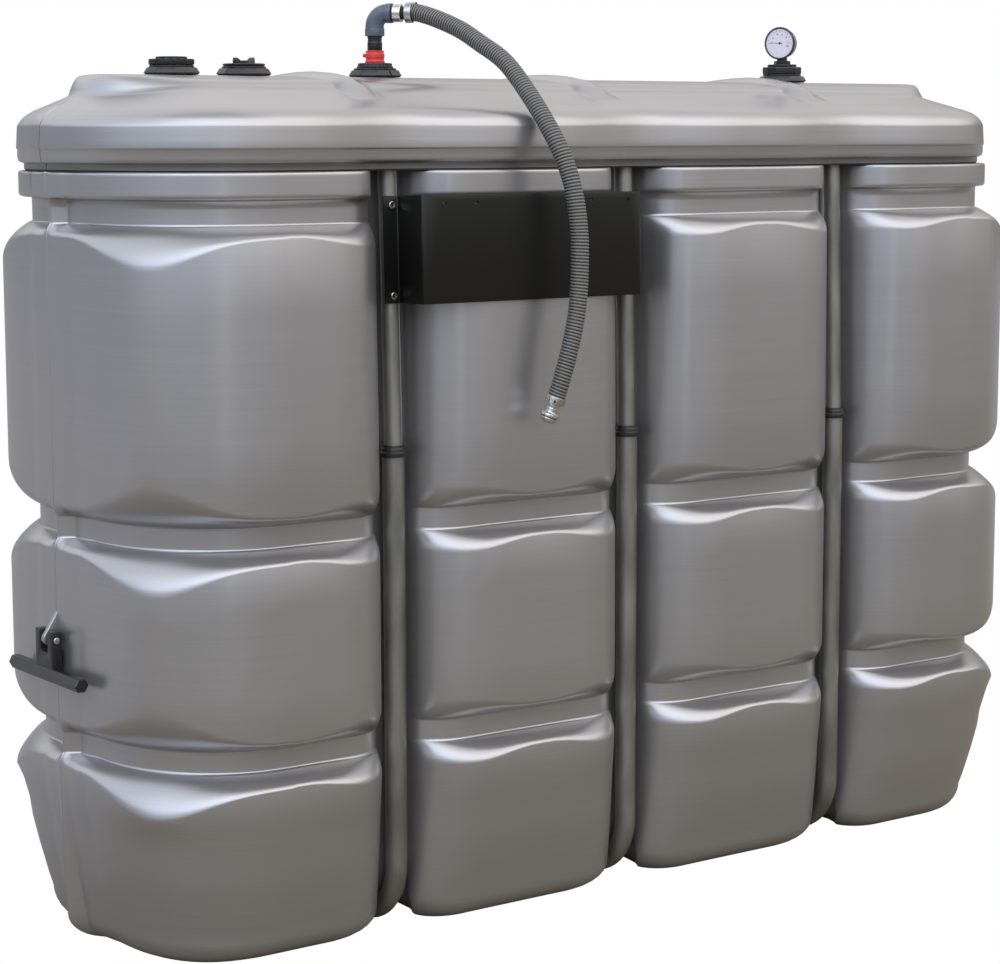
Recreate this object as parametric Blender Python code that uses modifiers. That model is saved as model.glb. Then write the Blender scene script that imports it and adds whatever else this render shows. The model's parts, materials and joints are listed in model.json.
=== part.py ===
"""Rectangular double-wall plastic storage tank with lid, tube hoops and suction line.

Metres, +Z up. X runs along the tank, -Y is the front, and the origin is at floor
level in the middle of the tank. The tank has four bays on each long side, three
tiers of swollen panels between necked grooves, and a hoop of steel tube in each of
the three channels between the bays.
"""
import math

import bmesh
import bpy
from mathutils import Matrix, Vector

# Tank plan
BAY_PITCH = 0.570            # spacing of the hoops along the tank
CORNER_CX = 0.857            # centre of the rounded end corners, from the middle
CORNER_CY = 0.080
CORNER_RX = 0.234            # corner radii of the grooved necks
CORNER_RY = 0.279
END_BOW = 0.012              # how far the middle of an end stands out
SEAM_X = 1.135               # flat moulding seam strip in the middle of each end
SEAM_HALF = 0.018
GROOVE_HALF = 0.030          # flat bottom of a hoop channel
GROOVE_Y = 0.280
EDGE_HALF = 0.040            # half the channel's width where a bay's side starts
EDGE_Y = 0.283
NECK_Y = 0.357               # front of the middle bays at the necks, the swollen panels and the rim
BULGE_Y = 0.411
RIM_Y = 0.378
WALL = 0.008

# Tank heights
RIM_TOP = 1.487
RIM_LOW = 1.436
NECK_LOWS = (1.390, 0.798, 0.3805)
NECK_TOPS = (1.433, 0.840, 0.422)

# Lid
LID_GAP = 0.0003
LIP_Z = 1.504
LID_SIDE_Z = 1.575
PLATEAU_Z = 1.640
CROWN_Z = 1.667
PLATEAU_X = 1.040
PLATEAU_Y = 0.180
LID_WALL = 0.006

# Hoops
LOWER_R = 0.0212
UPPER_R = 0.01685
HOOP_Y = 0.3088
HOOP_BOTTOM_Z = 0.0257
HOOP_BEND = 0.115
HOOP_TURNS = (0.0, 22.5, 45.0, 67.5, 90.0)   # bend of the lower tubes, shared by the channel
HOOP_JOINT_Z = 0.950
HOOP_TOP_Z = 1.578
HOOP_TOP_BEND = 0.060
HOOP_LEAN = 0.029            # the upper tubes lean inwards by this much of their height
LEAN_Z = 0.968               # above the joint rings
TOUCH = 0.0003               # gap kept between pieces that touch

# Pump bracket, in its own upright frame: X along the tank, Y out from the hoops' fronts
BRACKET_HIGH = 0.203
BRACKET_Z = 1.3375
SHEET = 0.003
BRACKET_DEEP = 0.098
FLANGE_LEFT = -0.592
FOOT_LEFT = -0.5595
RETURN_LEFT = -0.570
RETURN_RIGHT = -0.050
FOOT_RIGHT = -0.011
FLANGE_RIGHT = 0.0225
SCREW_X = -0.5737
BRACKET_TILT = -math.atan(HOOP_LEAN)

# Fittings on the lid, by their place along the tank
FILL_X = -0.866
PLUG_X = -0.7075
SUCTION_X = -0.405
GAUGE_X = 0.686
COLLAR_R = 0.0550
COLLAR_HIGH = 0.0178
GRIP_TURN = -35.0            # degrees the plug's grip is turned on the lid

GAUGE_Z = 1.7545
GAUGE_TURN = 244.0           # degrees from +Y that the dial faces
CASE_R = 0.0315
LEAK_X = 1.093
LEAK_Z = 1.624               # small round seat moulded into the lid's slope

# Suction line
OUTLET_ANGLE = math.radians(50.0)
OUTLET_Z = 1.794
RISER_TOP = 1.749
RISER_R = 0.0150
HOSE_R = 0.0172
HOSE_ROUTE = (
    (-0.3600, -0.0536, 1.7940),
    (-0.3471, -0.0689, 1.7940),
    (-0.3300, -0.1120, 1.7810),
    (-0.3143, -0.1700, 1.7586),
    (-0.3055, -0.2260, 1.7308),
    (-0.2945, -0.2980, 1.6906),
    (-0.2876, -0.3740, 1.6206),
    (-0.2781, -0.4320, 1.5481),
    (-0.2673, -0.4590, 1.4914),
    (-0.2590, -0.4740, 1.4327),
    (-0.2540, -0.4820, 1.3549),
    (-0.2562, -0.4830, 1.2578),
    (-0.2649, -0.4820, 1.1939),
    (-0.2781, -0.4790, 1.1358),
    (-0.2903, -0.4730, 1.0848),
    (-0.2965, -0.4680, 1.0590),
    (-0.3023, -0.4646, 1.0400),
)

# Carrying handles
PIN_X = 1.153
PIN_Z = 0.607
PIN_R = 0.004
LUG_HALF = 0.006
SLOT_HALF = 0.016
STEM_HALF = 0.036
STEM_THICK = 0.021
GRIP_Z = 0.540
GRIP_LENGTH = 0.290
GRIP_R = 0.0145


def clear_scene():
    for obj in list(bpy.data.objects):
        bpy.data.objects.remove(obj, do_unlink=True)


def make_collection(name):
    found = bpy.data.collections.get(name)
    if found is None:
        found = bpy.data.collections.new(name)
        bpy.context.scene.collection.children.link(found)
    return found


def make_material(name, color, roughness, metallic=0.0):
    mat = bpy.data.materials.new(name)
    mat.use_nodes = True
    shader = mat.node_tree.nodes["Principled BSDF"]
    shader.inputs["Base Color"].default_value = (*color, 1.0)
    shader.inputs["Roughness"].default_value = roughness
    shader.inputs["Metallic"].default_value = metallic
    return mat


clear_scene()
TANK = make_collection("storage_tank")
CUTTERS = make_collection("cutters")
GREY_PLASTIC = make_material("grey_plastic", (0.33, 0.33, 0.34), 0.38, 0.35)
GALVANISED = make_material("galvanised", (0.42, 0.43, 0.42), 0.42, 0.9)
BLACK_PLASTIC = make_material("black_plastic", (0.02, 0.02, 0.021), 0.4)
BLACK_SHEET = make_material("black_sheet", (0.02, 0.02, 0.02), 0.35, 0.3)
RED_PLASTIC = make_material("red_plastic", (0.72, 0.05, 0.04), 0.4)
PIPE_GREY = make_material("pipe_grey", (0.10, 0.115, 0.13), 0.4)
ZINC = make_material("zinc", (0.62, 0.63, 0.62), 0.28, 1.0)
HOSE_PLASTIC = make_material("hose_plastic", (0.12, 0.12, 0.12), 0.45)
GAUGE_STEEL = make_material("gauge_steel", (0.45, 0.45, 0.46), 0.3, 0.9)
DIAL_WHITE = make_material("dial_white", (0.8, 0.8, 0.78), 0.5)
CLEAR_PLASTIC = make_material("clear_plastic", (0.75, 0.78, 0.74), 0.3)


def add_object(name, mesh, material, collection=None):
    obj = bpy.data.objects.new(name, mesh)
    (collection or TANK).objects.link(obj)
    mesh.materials.clear()
    mesh.materials.append(material)
    return obj


def mesh_from(name, vertices, faces):
    """A closed mesh from computed points, with its faces turned outwards."""
    work = bmesh.new()
    made = [work.verts.new(point) for point in vertices]
    for face in faces:
        work.faces.new([made[i] for i in face])
    bmesh.ops.recalc_face_normals(work, faces=work.faces)
    mesh = bpy.data.meshes.new(name)
    work.to_mesh(mesh)
    work.free()
    return mesh


def smooth(mesh, degrees=35.0):
    mesh.shade_smooth()
    mesh.set_sharp_from_angle(angle=math.radians(degrees))


def turned(name, profile, material, steps=24, at=(0, 0, 0), along=(0, 0, 1), closed=False):
    """A profile of (radius, height) turned about an axis through a point."""
    count = len(profile)
    edges = [(i, i + 1) for i in range(count - 1)]
    if closed:
        edges.append((count - 1, 0))
    mesh = bpy.data.meshes.new(name)
    mesh.from_pydata([(r, 0.0, h) for r, h in profile], edges, [])
    obj = add_object(name, mesh, material)
    turn = obj.modifiers.new("turn", 'SCREW')
    turn.axis = 'Z'
    turn.angle = math.tau
    turn.steps = steps
    turn.render_steps = steps
    turn.use_merge_vertices = True
    turn.merge_threshold = 0.00005
    turn.use_smooth_shade = True
    direction = Vector(along).normalized()
    obj.rotation_mode = 'QUATERNION'
    obj.rotation_quaternion = Vector((0, 0, 1)).rotation_difference(direction)
    obj.location = at
    return obj


def tube(name, points, radius, material, resolution=1):
    """A bar or hose along a line of points, with flat ends."""
    curve = bpy.data.curves.new(name, 'CURVE')
    curve.dimensions = '3D'
    curve.bevel_depth = radius
    curve.bevel_resolution = resolution
    curve.use_fill_caps = True
    spline = curve.splines.new('POLY')
    spline.points.add(len(points) - 1)
    for point, place in zip(spline.points, points):
        point.co = (*place, 1.0)
    curve.materials.append(material)
    obj = bpy.data.objects.new(name, curve)
    TANK.objects.link(obj)
    return obj


def plate(name, outline, thickness, material):
    """A flat outline in XY, thickened evenly about Z = 0, as a mesh object."""
    curve = bpy.data.curves.new(name, 'CURVE')
    curve.dimensions = '2D'
    curve.fill_mode = 'BOTH'
    curve.extrude = thickness / 2
    spline = curve.splines.new('POLY')
    spline.points.add(len(outline) - 1)
    for point, place in zip(spline.points, outline):
        point.co = (place[0], place[1], 0.0, 1.0)
    spline.use_cyclic_u = True
    draft = bpy.data.objects.new(name + "_outline", curve)
    TANK.objects.link(draft)
    bpy.context.view_layer.update()
    mesh = bpy.data.meshes.new_from_object(draft.evaluated_get(bpy.context.evaluated_depsgraph_get()))
    bpy.data.objects.remove(draft, do_unlink=True)
    work = bmesh.new()
    work.from_mesh(mesh)
    bmesh.ops.remove_doubles(work, verts=work.verts, dist=0.00001)
    bmesh.ops.recalc_face_normals(work, faces=work.faces)
    work.to_mesh(mesh)
    work.free()
    mesh.name = name
    return add_object(name, mesh, material)


def cutter_bar(name, radius, length, at, along, sides=12):
    """A hidden round bar that cuts a hole."""
    work = bmesh.new()
    bmesh.ops.create_cone(work, cap_ends=True, segments=sides, radius1=radius, radius2=radius,
                          depth=length)
    mesh = bpy.data.meshes.new(name)
    work.to_mesh(mesh)
    work.free()
    obj = bpy.data.objects.new(name, mesh)
    CUTTERS.objects.link(obj)
    obj.rotation_mode = 'QUATERNION'
    obj.rotation_quaternion = Vector((0, 0, 1)).rotation_difference(Vector(along))
    obj.location = at
    obj.hide_render = True
    obj.display_type = 'WIRE'
    return obj


def cutter_box(name, at, size):
    """A hidden block that trims a piece."""
    work = bmesh.new()
    bmesh.ops.create_cube(work, size=1.0)
    mesh = bpy.data.meshes.new(name)
    work.to_mesh(mesh)
    work.free()
    mesh.transform(Matrix.Diagonal((*size, 1.0)))
    obj = bpy.data.objects.new(name, mesh)
    CUTTERS.objects.link(obj)
    obj.location = at
    obj.hide_render = True
    obj.display_type = 'WIRE'
    return obj


def boolean(target, other, operation):
    cut = target.modifiers.new(operation.lower(), 'BOOLEAN')
    cut.operation = operation
    cut.object = other
    cut.solver = 'EXACT'
    return cut


def ease(value):
    value = min(max(value, 0.0), 1.0)
    return value * value * (3.0 - 2.0 * value)


def round_in(value):
    """Quarter of an ellipse: steep at 0, level from 1 on."""
    value = min(max(value, 0.0), 1.0)
    return math.sqrt(1.0 - (1.0 - value) ** 2)


class Station:
    """One vertical line of the tank's wall, with its place at each kind of level."""

    def __init__(self, neck, bulge, rim, lid, plateau, base, inward, corner, seam=False, groove=None):
        self.neck = neck
        self.bulge = bulge
        self.rim = rim
        self.lid = lid
        self.plateau = plateau
        self.base = base
        self.inward = inward
        self.corner = corner
        self.seam = seam
        self.groove = groove

    def mirrored(self, sx, sy):
        def turn(point):
            return (point[0] * sx, point[1] * sy)
        groove = (self.groove[0], self.groove[1] * sx) if self.groove else None
        return Station(turn(self.neck), turn(self.bulge), turn(self.rim), turn(self.lid),
                       turn(self.plateau), turn(self.base), turn(self.inward), self.corner,
                       self.seam, groove)


def end_station(y, seam):
    """On the flat middle of the left end."""
    neck_x = -(CORNER_CX + CORNER_RX + END_BOW * (1 - (y / CORNER_CY) ** 2))
    wall_x = -SEAM_X if seam else neck_x
    bow = 0.010 * (1 - y / CORNER_CY)
    return Station((wall_x, -y), (-SEAM_X, -y), (-SEAM_X, -y), (-1.145, -y), (-PLATEAU_X - bow, -y),
                   (-1.012 - bow, -y), (1.0, 0.0), 0.8, seam)


def corner_station(degrees):
    """On the rounded left front corner: 0 faces the end, 90 faces the front."""
    angle = math.radians(degrees)
    side = math.cos(angle)
    front = math.sin(angle)
    facing = ease(degrees / 40.0)

    def arc(extra):
        return (-(CORNER_CX + (CORNER_RX + extra) * side), -(CORNER_CY + (CORNER_RY + extra) * front))
    swell = 0.040 + 0.022 * facing
    band = 0.034 - 0.013 * facing
    lid = 0.040 - 0.016 * facing
    plateau = (-(CORNER_CX + 0.183 * side), -(CORNER_CY + 0.100 * front))
    squarish = 2.0 / 3.0
    base = (-(CORNER_CX + 0.155 * side ** squarish), -(CORNER_CY + 0.180 * front ** squarish))
    corner = 0.8 + 0.2 * facing - 0.95 * ease((degrees - 50.0) / 45.0)
    return Station(arc(0.0), arc(swell), arc(band), arc(lid), plateau, base, (side, front), corner)


def face_station(channel_x, direction, s, extra=0.0):
    """On a bay's face, s from its edge; the end bays stand out by an extra 2 to 10 mm."""
    x = channel_x + direction * (EDGE_HALF + s)
    base_x = channel_x + direction * (EDGE_HALF + 0.075 + s * 0.705)
    neck = -(EDGE_Y + (NECK_Y + extra * 0.2 - EDGE_Y) * round_in(s / 0.10))
    bulge = -(EDGE_Y + (BULGE_Y + extra - EDGE_Y) * round_in(s / 0.145))
    rim = -(EDGE_Y + (RIM_Y + extra * 0.2 - EDGE_Y) * round_in(s / 0.10))
    lid = -(0.345 + 0.038 * ease((s + 0.02) / 0.17))
    base = -(0.215 + 0.045 * round_in(s / 0.08))
    lean = 0.6 * (1 - ease(s / 0.06))
    corner = 0.05 + 0.55 * (1 - ease((s - 0.03) / 0.16))
    return Station((x, neck), (x, bulge), (x, rim), (x, lid), (x, -PLATEAU_Y), (base_x, base),
                   (direction * lean, math.sqrt(1 - lean * lean)), corner)


def edge_station(channel_x, direction):
    x = channel_x + direction * EDGE_HALF
    wall = (x, -EDGE_Y)
    return Station(wall, wall, wall, (x, -0.345), (x, -PLATEAU_Y), (x, -EDGE_Y),
                   (direction * 0.6, 0.8), 0.6, groove=("edge", direction))


def groove_station(channel_x, direction):
    x = channel_x + direction * GROOVE_HALF
    wall = (x, -GROOVE_Y)
    return Station(wall, wall, wall, (x, -0.345), (x, -PLATEAU_Y), (x, -GROOVE_Y),
                   (0.0, 1.0), 0.6, groove=("bottom", direction))


def wall_stations():
    """Stations round the tank: the left end's middle, along the front, and round the back."""
    quarter = [end_station(0.0, True), end_station(SEAM_HALF, True), end_station(SEAM_HALF + 0.004, False)]
    quarter += [corner_station(degrees) for degrees in (0.0, 22.5, 45.0, 67.5, 90.0)]
    quarter += [face_station(-BAY_PITCH, -1, s, 0.010) for s in (0.16, 0.06, 0.018)]
    quarter += [edge_station(-BAY_PITCH, -1), groove_station(-BAY_PITCH, -1)]
    quarter += [groove_station(-BAY_PITCH, 1), edge_station(-BAY_PITCH, 1)]
    quarter += [face_station(-BAY_PITCH, 1, s) for s in (0.018, 0.06, 0.14, 0.245)]
    quarter += [face_station(0.0, -1, s) for s in (0.14, 0.06, 0.018)]
    quarter += [edge_station(0.0, -1), groove_station(0.0, -1)]
    front = quarter + [station.mirrored(-1, 1) for station in reversed(quarter)]
    back = [station.mirrored(1, -1) for station in reversed(front[1:-1])]
    return front + back


def mix(first, second, share):
    return tuple(a + (b - a) * share for a, b in zip(first, second))


def groove_path(station, row, inside=0.0):
    """The channel's floor follows the hoop round under the tank; row 0 is the highest."""
    kind, direction = station.groove
    centre_y = HOOP_Y - HOOP_BEND
    centre_z = HOOP_BOTTOM_Z + HOOP_BEND
    turn = math.radians(HOOP_TURNS[max(row - 1, 0)])
    floor = HOOP_BEND - LOWER_R - TOUCH
    upright = (EDGE_Y if kind == "edge" else GROOVE_Y) - centre_y
    under = floor + LOWER_R if kind == "edge" else floor
    radius = upright + (under - upright) * math.sin(turn) - inside
    height = 0.24 if row == 0 else centre_z - radius * math.sin(turn)
    depth = centre_y + radius * math.cos(turn)
    side = math.copysign(1.0, station.neck[1])
    spread = (0.0, 0.0, 0.003, 0.010, 0.018, 0.022)[row] if kind == "edge" else 0.0
    return (station.neck[0] + direction * spread, side * depth, height)


def leaned(y, z):
    """A place on the channel or the upper hoop, moved in as those lean."""
    return y - math.copysign(HOOP_LEAN * max(z - LEAN_Z, 0.0), y)


def wall_line(station):
    """All the points down one station, outside, from the rim to the base."""
    points = []

    def add(place, z):
        y = leaned(place[1], z) if station.groove else place[1]
        points.append((place[0], y, z))
    rim_in = mix(station.rim, station.neck, 0.25)
    add(rim_in, RIM_TOP)
    add(station.rim, RIM_TOP - 0.006)
    add(station.rim, RIM_LOW + 0.008)
    add(mix(station.rim, station.neck, 0.75), RIM_LOW)
    add(station.neck, NECK_TOPS[0])
    shoulder = 0.020 + 0.062 * station.corner
    for tier in range(3):
        top = NECK_LOWS[tier]
        add(station.neck, top)
        add(mix(station.neck, station.bulge, 0.66), top - 0.46 * shoulder)
        add(station.bulge, top - shoulder)
        if tier < 2:
            low = NECK_TOPS[tier + 1]
            add(station.bulge, low + shoulder + 0.005)
            add(mix(station.neck, station.bulge, 0.66), low + 0.46 * shoulder)
            add(station.neck, low)
    lower = ((0.24, 0.64), (0.15, 0.31), (0.085, 0.02))
    if station.groove:
        points += [groove_path(station, row) for row in range(6)]
    else:
        for z, share in lower:
            add(mix(station.neck, station.bulge, share), z)
        for z, share in ((0.045, 0.20), (0.016, 0.52), (0.0, 1.0)):
            add(mix(station.neck, station.base, share), z)
    return points


# Rows of the outside that the inside repeats, with the height each is moved by
INNER_ROWS = ((0, 0.0), (2, 0.005), (4, 0.004), (5, -0.007), (7, -0.005), (8, 0.005), (10, 0.007),
              (11, -0.007), (13, -0.005), (14, 0.005), (16, 0.007), (17, -0.007), (19, -0.005))


def inner_line(station):
    """The inside of the wall: the main points of the outside, one wall further in."""
    outside = wall_line(station)
    neck_x = CORNER_CX + CORNER_RX + END_BOW
    points = []
    for row, lift in INNER_ROWS:
        x, y, z = outside[row]
        if station.seam and row >= 4:
            x = math.copysign(min(abs(x), neck_x), x)
        points.append((x + station.inward[0] * WALL, y + station.inward[1] * WALL, z + lift))
    for row in (1, 3, 5):
        if station.groove:
            x, y, z = groove_path(station, row, WALL)
            points.append((x + station.inward[0] * WALL, y, z))
            continue
        x, y, z = outside[20 + row]
        lift = WALL if row == 5 else 0.0
        points.append((x + station.inward[0] * WALL, y + station.inward[1] * WALL, z + lift))
    return points


def ring_faces(first, second):
    count = len(first)
    return [(first[i], first[(i + 1) % count], second[(i + 1) % count], second[i]) for i in range(count)]


def ladder_faces(ring):
    """Faces across a ring, from each front point to the back point behind it."""
    count = len(ring)
    faces = []
    for i in range(count // 2):
        face = [ring[i], ring[i + 1], ring[(count - i - 1) % count], ring[(count - i) % count]]
        faces.append(list(dict.fromkeys(face)))
    return faces


def rings_from(lines):
    """Vertices of all lines, and the rings of their numbers, top row first."""
    rows = len(lines[0])
    vertices = [line[row] for row in range(rows) for line in lines]
    count = len(lines)
    rings = [[row * count + i for i in range(count)] for row in range(rows)]
    return vertices, rings


def make_handle_lug(side):
    """The moulded fin in the seam that carries a handle's pin."""
    foot_x = SEAM_X - 0.006
    tip = 0.0125
    outline = [(foot_x, 0.672)]
    for step in range(7):
        turn = math.radians(28.0 - step * 22.0)
        outline.append((PIN_X + tip * math.cos(turn), PIN_Z + tip * math.sin(turn)))
    outline.append((foot_x, 0.588))
    lug = plate("lug", [(x, z) for x, z in outline], 2 * LUG_HALF, GREY_PLASTIC)
    lug.data.transform(Matrix.Rotation(math.radians(90), 4, 'X'))
    if side < 0:
        lug.data.transform(Matrix.Rotation(math.pi, 4, 'Z'))
    TANK.objects.unlink(lug)
    CUTTERS.objects.link(lug)
    lug.name = "lug_form_left" if side < 0 else "lug_form_right"
    lug.hide_render = True
    lug.display_type = 'WIRE'
    return lug


def make_outer_tank(stations):
    outer, outer_rings = rings_from([wall_line(station) for station in stations])
    inner, inner_rings = rings_from([inner_line(station) for station in stations])
    shift = len(outer)
    inner_rings = [[i + shift for i in ring] for ring in inner_rings]
    faces = []
    for rings in (outer_rings, inner_rings):
        for first, second in zip(rings, rings[1:]):
            faces += ring_faces(first, second)
    faces += ring_faces(outer_rings[0], inner_rings[0])
    faces += ladder_faces(outer_rings[-1])
    faces += ladder_faces(inner_rings[-1])
    mesh = mesh_from("outer_tank", outer + inner, faces)
    smooth(mesh)
    tank = add_object("outer_tank", mesh, GREY_PLASTIC)
    for side in (-1, 1):
        boolean(tank, make_handle_lug(side), 'UNION')
        bore = cutter_bar("lug_bore", PIN_R + TOUCH, 0.05, (side * PIN_X, 0, PIN_Z), (0, 1, 0))
        boolean(tank, bore, 'DIFFERENCE')
    return tank


def arch_height(y):
    """Height of a lid ridge over a hoop, across the lid."""
    return 1.677 - 0.071 * (abs(y) / 0.255) ** 3.4


def lid_line(station):
    """Points of one lid station: strip, lip, side and slope up to the plateau."""
    points = []

    def add(place, z):
        points.append((place[0], place[1], z))

    def inset(distance):
        return (station.lid[0] + station.inward[0] * distance, station.lid[1] + station.inward[1] * distance)
    valley = 0.018 if abs(station.lid[1]) < 0.36 and abs(station.lid[0]) < 0.80 else 0.0
    add(inset(0.012), RIM_TOP + LID_GAP)
    add(inset(0.012), LIP_Z - 0.002)
    add(inset(0.002), LIP_Z)
    add(inset(0.0), LIP_Z + 0.008)
    add(inset(0.0), LID_SIDE_Z)
    add(inset(0.011), LID_SIDE_Z + 0.013)
    slope = inset(0.030)
    add(slope, 1.598)
    add(mix(slope, station.plateau, 0.5), 1.619 - valley * 0.4)
    add(station.plateau, PLATEAU_Z)
    return points


def on_ridge(station):
    return station.groove is not None and station.groove[0] == "bottom"


def lid_top(station, y):
    """Height of the plateau, with the three ridges over the hoops."""
    across = min(abs(y) / PLATEAU_Y, 1.0)
    height = CROWN_Z - 0.012 * across ** 4
    return max(height, arch_height(y)) if on_ridge(station) else height


def plateau_rows(stations, rows, wall):
    """Rows of points over the plateau, from each front station to the one behind it."""
    half = len(stations) // 2
    grid = []
    for share in rows:
        line = []
        for station in stations[1:half]:
            x = station.plateau[0] + station.inward[0] * wall
            y = station.plateau[1] + station.inward[1] * wall
            line.append((x, y * share, lid_top(station, y * share) - wall))
        grid.append(line)
    return grid


def raise_ridge(point, station):
    """Lift the lid's slope where a ridge runs down to it."""
    x, y, z = point
    if on_ridge(station) and abs(y) < 0.255:
        z = max(z, arch_height(y))
    return (x, y, z)


def make_lid(stations):
    """A shell open below: rings up to the plateau, then rows across it, twice."""
    count = len(stations)
    half = count // 2
    vertices = []
    faces = []
    rims = []
    rows = (0.75, 0.35, -0.35, -0.75)
    for skin in (0, 1):
        lines = []
        for station in stations:
            line = [raise_ridge(point, station) for point in lid_line(station)]
            if skin:
                moved = []
                for row, drop in ((0, 0.0), (1, -0.010), (4, LID_WALL), (6, LID_WALL), (7, LID_WALL),
                                  (8, LID_WALL)):
                    x, y, z = line[row]
                    x += station.inward[0] * LID_WALL
                    y += station.inward[1] * LID_WALL
                    moved.append((x, y, z - drop))
                line = moved
            lines.append(line)
        points, rings = rings_from(lines)
        shift = len(vertices)
        vertices += points
        rings = [[i + shift for i in ring] for ring in rings]
        rims.append(rings[0])
        for first, second in zip(rings, rings[1:]):
            faces += ring_faces(first, second)
        top = rings[-1]
        grid = plateau_rows(stations, rows, LID_WALL * skin)
        numbered = [[top[i] for i in range(1, half)]]
        for line in grid:
            start = len(vertices)
            vertices += line
            numbered.append(list(range(start, start + len(line))))
        numbered.append([top[count - i] for i in range(1, half)])
        for near, far in zip(numbered, numbered[1:]):
            faces += [(near[i], near[i + 1], far[i + 1], far[i]) for i in range(len(near) - 1)]
        left = [line[0] for line in numbered]
        right = [line[-1] for line in numbered]
        faces += [(top[0], left[i], left[i + 1]) for i in range(len(left) - 1)]
        faces += [(top[half], right[i], right[i + 1]) for i in range(len(right) - 1)]
    faces += ring_faces(rims[0], rims[1])
    mesh = mesh_from("lid", vertices, faces)
    smooth(mesh)
    lid = add_object("lid", mesh, GREY_PLASTIC)
    seat = cutter_bar("indicator_seat", 0.021, 0.024, (LEAK_X, 0, LEAK_Z - 0.012), (0, 0, 1), 16)
    boolean(lid, seat, 'UNION')
    return lid


def bend_points(centre, radius, start, stop, steps):
    """Points on an arc in the YZ plane, angles in degrees from +Y towards +Z."""
    points = []
    for step in range(steps + 1):
        turn = math.radians(start + (stop - start) * step / steps)
        points.append((centre[0] + radius * math.cos(turn), centre[1] + radius * math.sin(turn)))
    return points


def make_hoops():
    """A tube under the tank and a thinner one over it, joined by a ring on each side."""
    for number, x in enumerate((-BAY_PITCH, 0.0, BAY_PITCH), start=1):
        low_y = HOOP_Y - HOOP_BEND
        low_z = HOOP_BOTTOM_Z + HOOP_BEND
        path = [(-HOOP_Y, HOOP_JOINT_Z)]
        path += bend_points((-low_y, low_z), HOOP_BEND, 180.0, 270.0, 4)
        path += bend_points((low_y, low_z), HOOP_BEND, 270.0, 360.0, 4)
        path.append((HOOP_Y, HOOP_JOINT_Z))
        tube("hoop_lower_%d" % number, [(x, y, z) for y, z in path], LOWER_R, GALVANISED, 4)
        top_z = HOOP_TOP_Z - HOOP_TOP_BEND
        top_y = leaned(HOOP_Y, top_z) - HOOP_TOP_BEND
        path = [(-HOOP_Y, HOOP_JOINT_Z + TOUCH), (-HOOP_Y, LEAN_Z)]
        path += bend_points((-top_y, top_z), HOOP_TOP_BEND, 180.0, 90.0, 4)
        path += bend_points((top_y, top_z), HOOP_TOP_BEND, 90.0, 0.0, 4)
        path += [(HOOP_Y, LEAN_Z), (HOOP_Y, HOOP_JOINT_Z + TOUCH)]
        tube("hoop_upper_%d" % number, [(x, y, z) for y, z in path], UPPER_R, GALVANISED, 4)
        for side, y in (("front", -HOOP_Y), ("back", HOOP_Y)):
            outer = 0.0262
            grip = LOWER_R + TOUCH
            neck = UPPER_R + TOUCH
            profile = [(outer, 0.015), (outer, -0.007), (grip, -0.007), (grip, TOUCH), (neck, TOUCH),
                       (neck, 0.015)]
            ring = turned("hoop_ring_%s_%d" % (side, number), profile, BLACK_PLASTIC, 12,
                          (x, y, HOOP_JOINT_Z), closed=True)
            inward = -math.copysign(1.0, y)
            wall_y = y + inward * (LOWER_R + 0.02)
            trim = cutter_box("ring_back", (x, wall_y, HOOP_JOINT_Z), (0.08, 0.04, 0.08))
            boolean(ring, trim, 'DIFFERENCE')


def bracket_centre():
    back = leaned(HOOP_Y, BRACKET_Z) + (UPPER_R + TOUCH) / math.cos(BRACKET_TILT)
    return Vector((0.0, -back, BRACKET_Z))


def on_bracket(x, out, up):
    """World place of a point: out from the flanges' backs, up from the bracket's middle."""
    tilt = Matrix.Rotation(BRACKET_TILT, 3, 'X')
    return bracket_centre() + tilt @ Vector((x, -out, up))


def make_bracket():
    """Folded sheet on the first two hoops: flange, return, front plate, return, flange."""
    face = BRACKET_DEEP + SHEET
    outline = [
        (FLANGE_LEFT, -SHEET), (FLANGE_LEFT, 0.0), (FOOT_LEFT + SHEET, 0.0),
        (RETURN_LEFT + SHEET, -BRACKET_DEEP), (RETURN_RIGHT - SHEET, -BRACKET_DEEP),
        (FOOT_RIGHT - SHEET, 0.0), (FLANGE_RIGHT, 0.0), (FLANGE_RIGHT, -SHEET),
        (FOOT_RIGHT + SHEET * 0.2, -SHEET), (RETURN_RIGHT, -face), (RETURN_LEFT, -face),
        (FOOT_LEFT, -SHEET),
    ]
    bracket = plate("pump_bracket", outline, BRACKET_HIGH, BLACK_SHEET)
    bracket.location = bracket_centre()
    bracket.rotation_euler.x = BRACKET_TILT
    outward = on_bracket(0.0, 1.0, 0.0) - on_bracket(0.0, 0.0, 0.0)
    for x in (-0.5205, -0.446, -0.173, -0.082):
        place = on_bracket(x, BRACKET_DEEP, BRACKET_HIGH / 2 - 0.0155)
        boolean(bracket, cutter_bar("plate_hole", 0.0035, 0.02, place, outward, 8), 'DIFFERENCE')
    for name, up in (("upper", 0.0843), ("lower", -0.0870)):
        profile = [(0.0, 0.0045), (0.0050, 0.0042), (0.0075, 0.0020), (0.0075, TOUCH), (0.0, TOUCH)]
        turned("bracket_screw_" + name, profile, ZINC, 10, on_bracket(SCREW_X, SHEET, up), outward)


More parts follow.
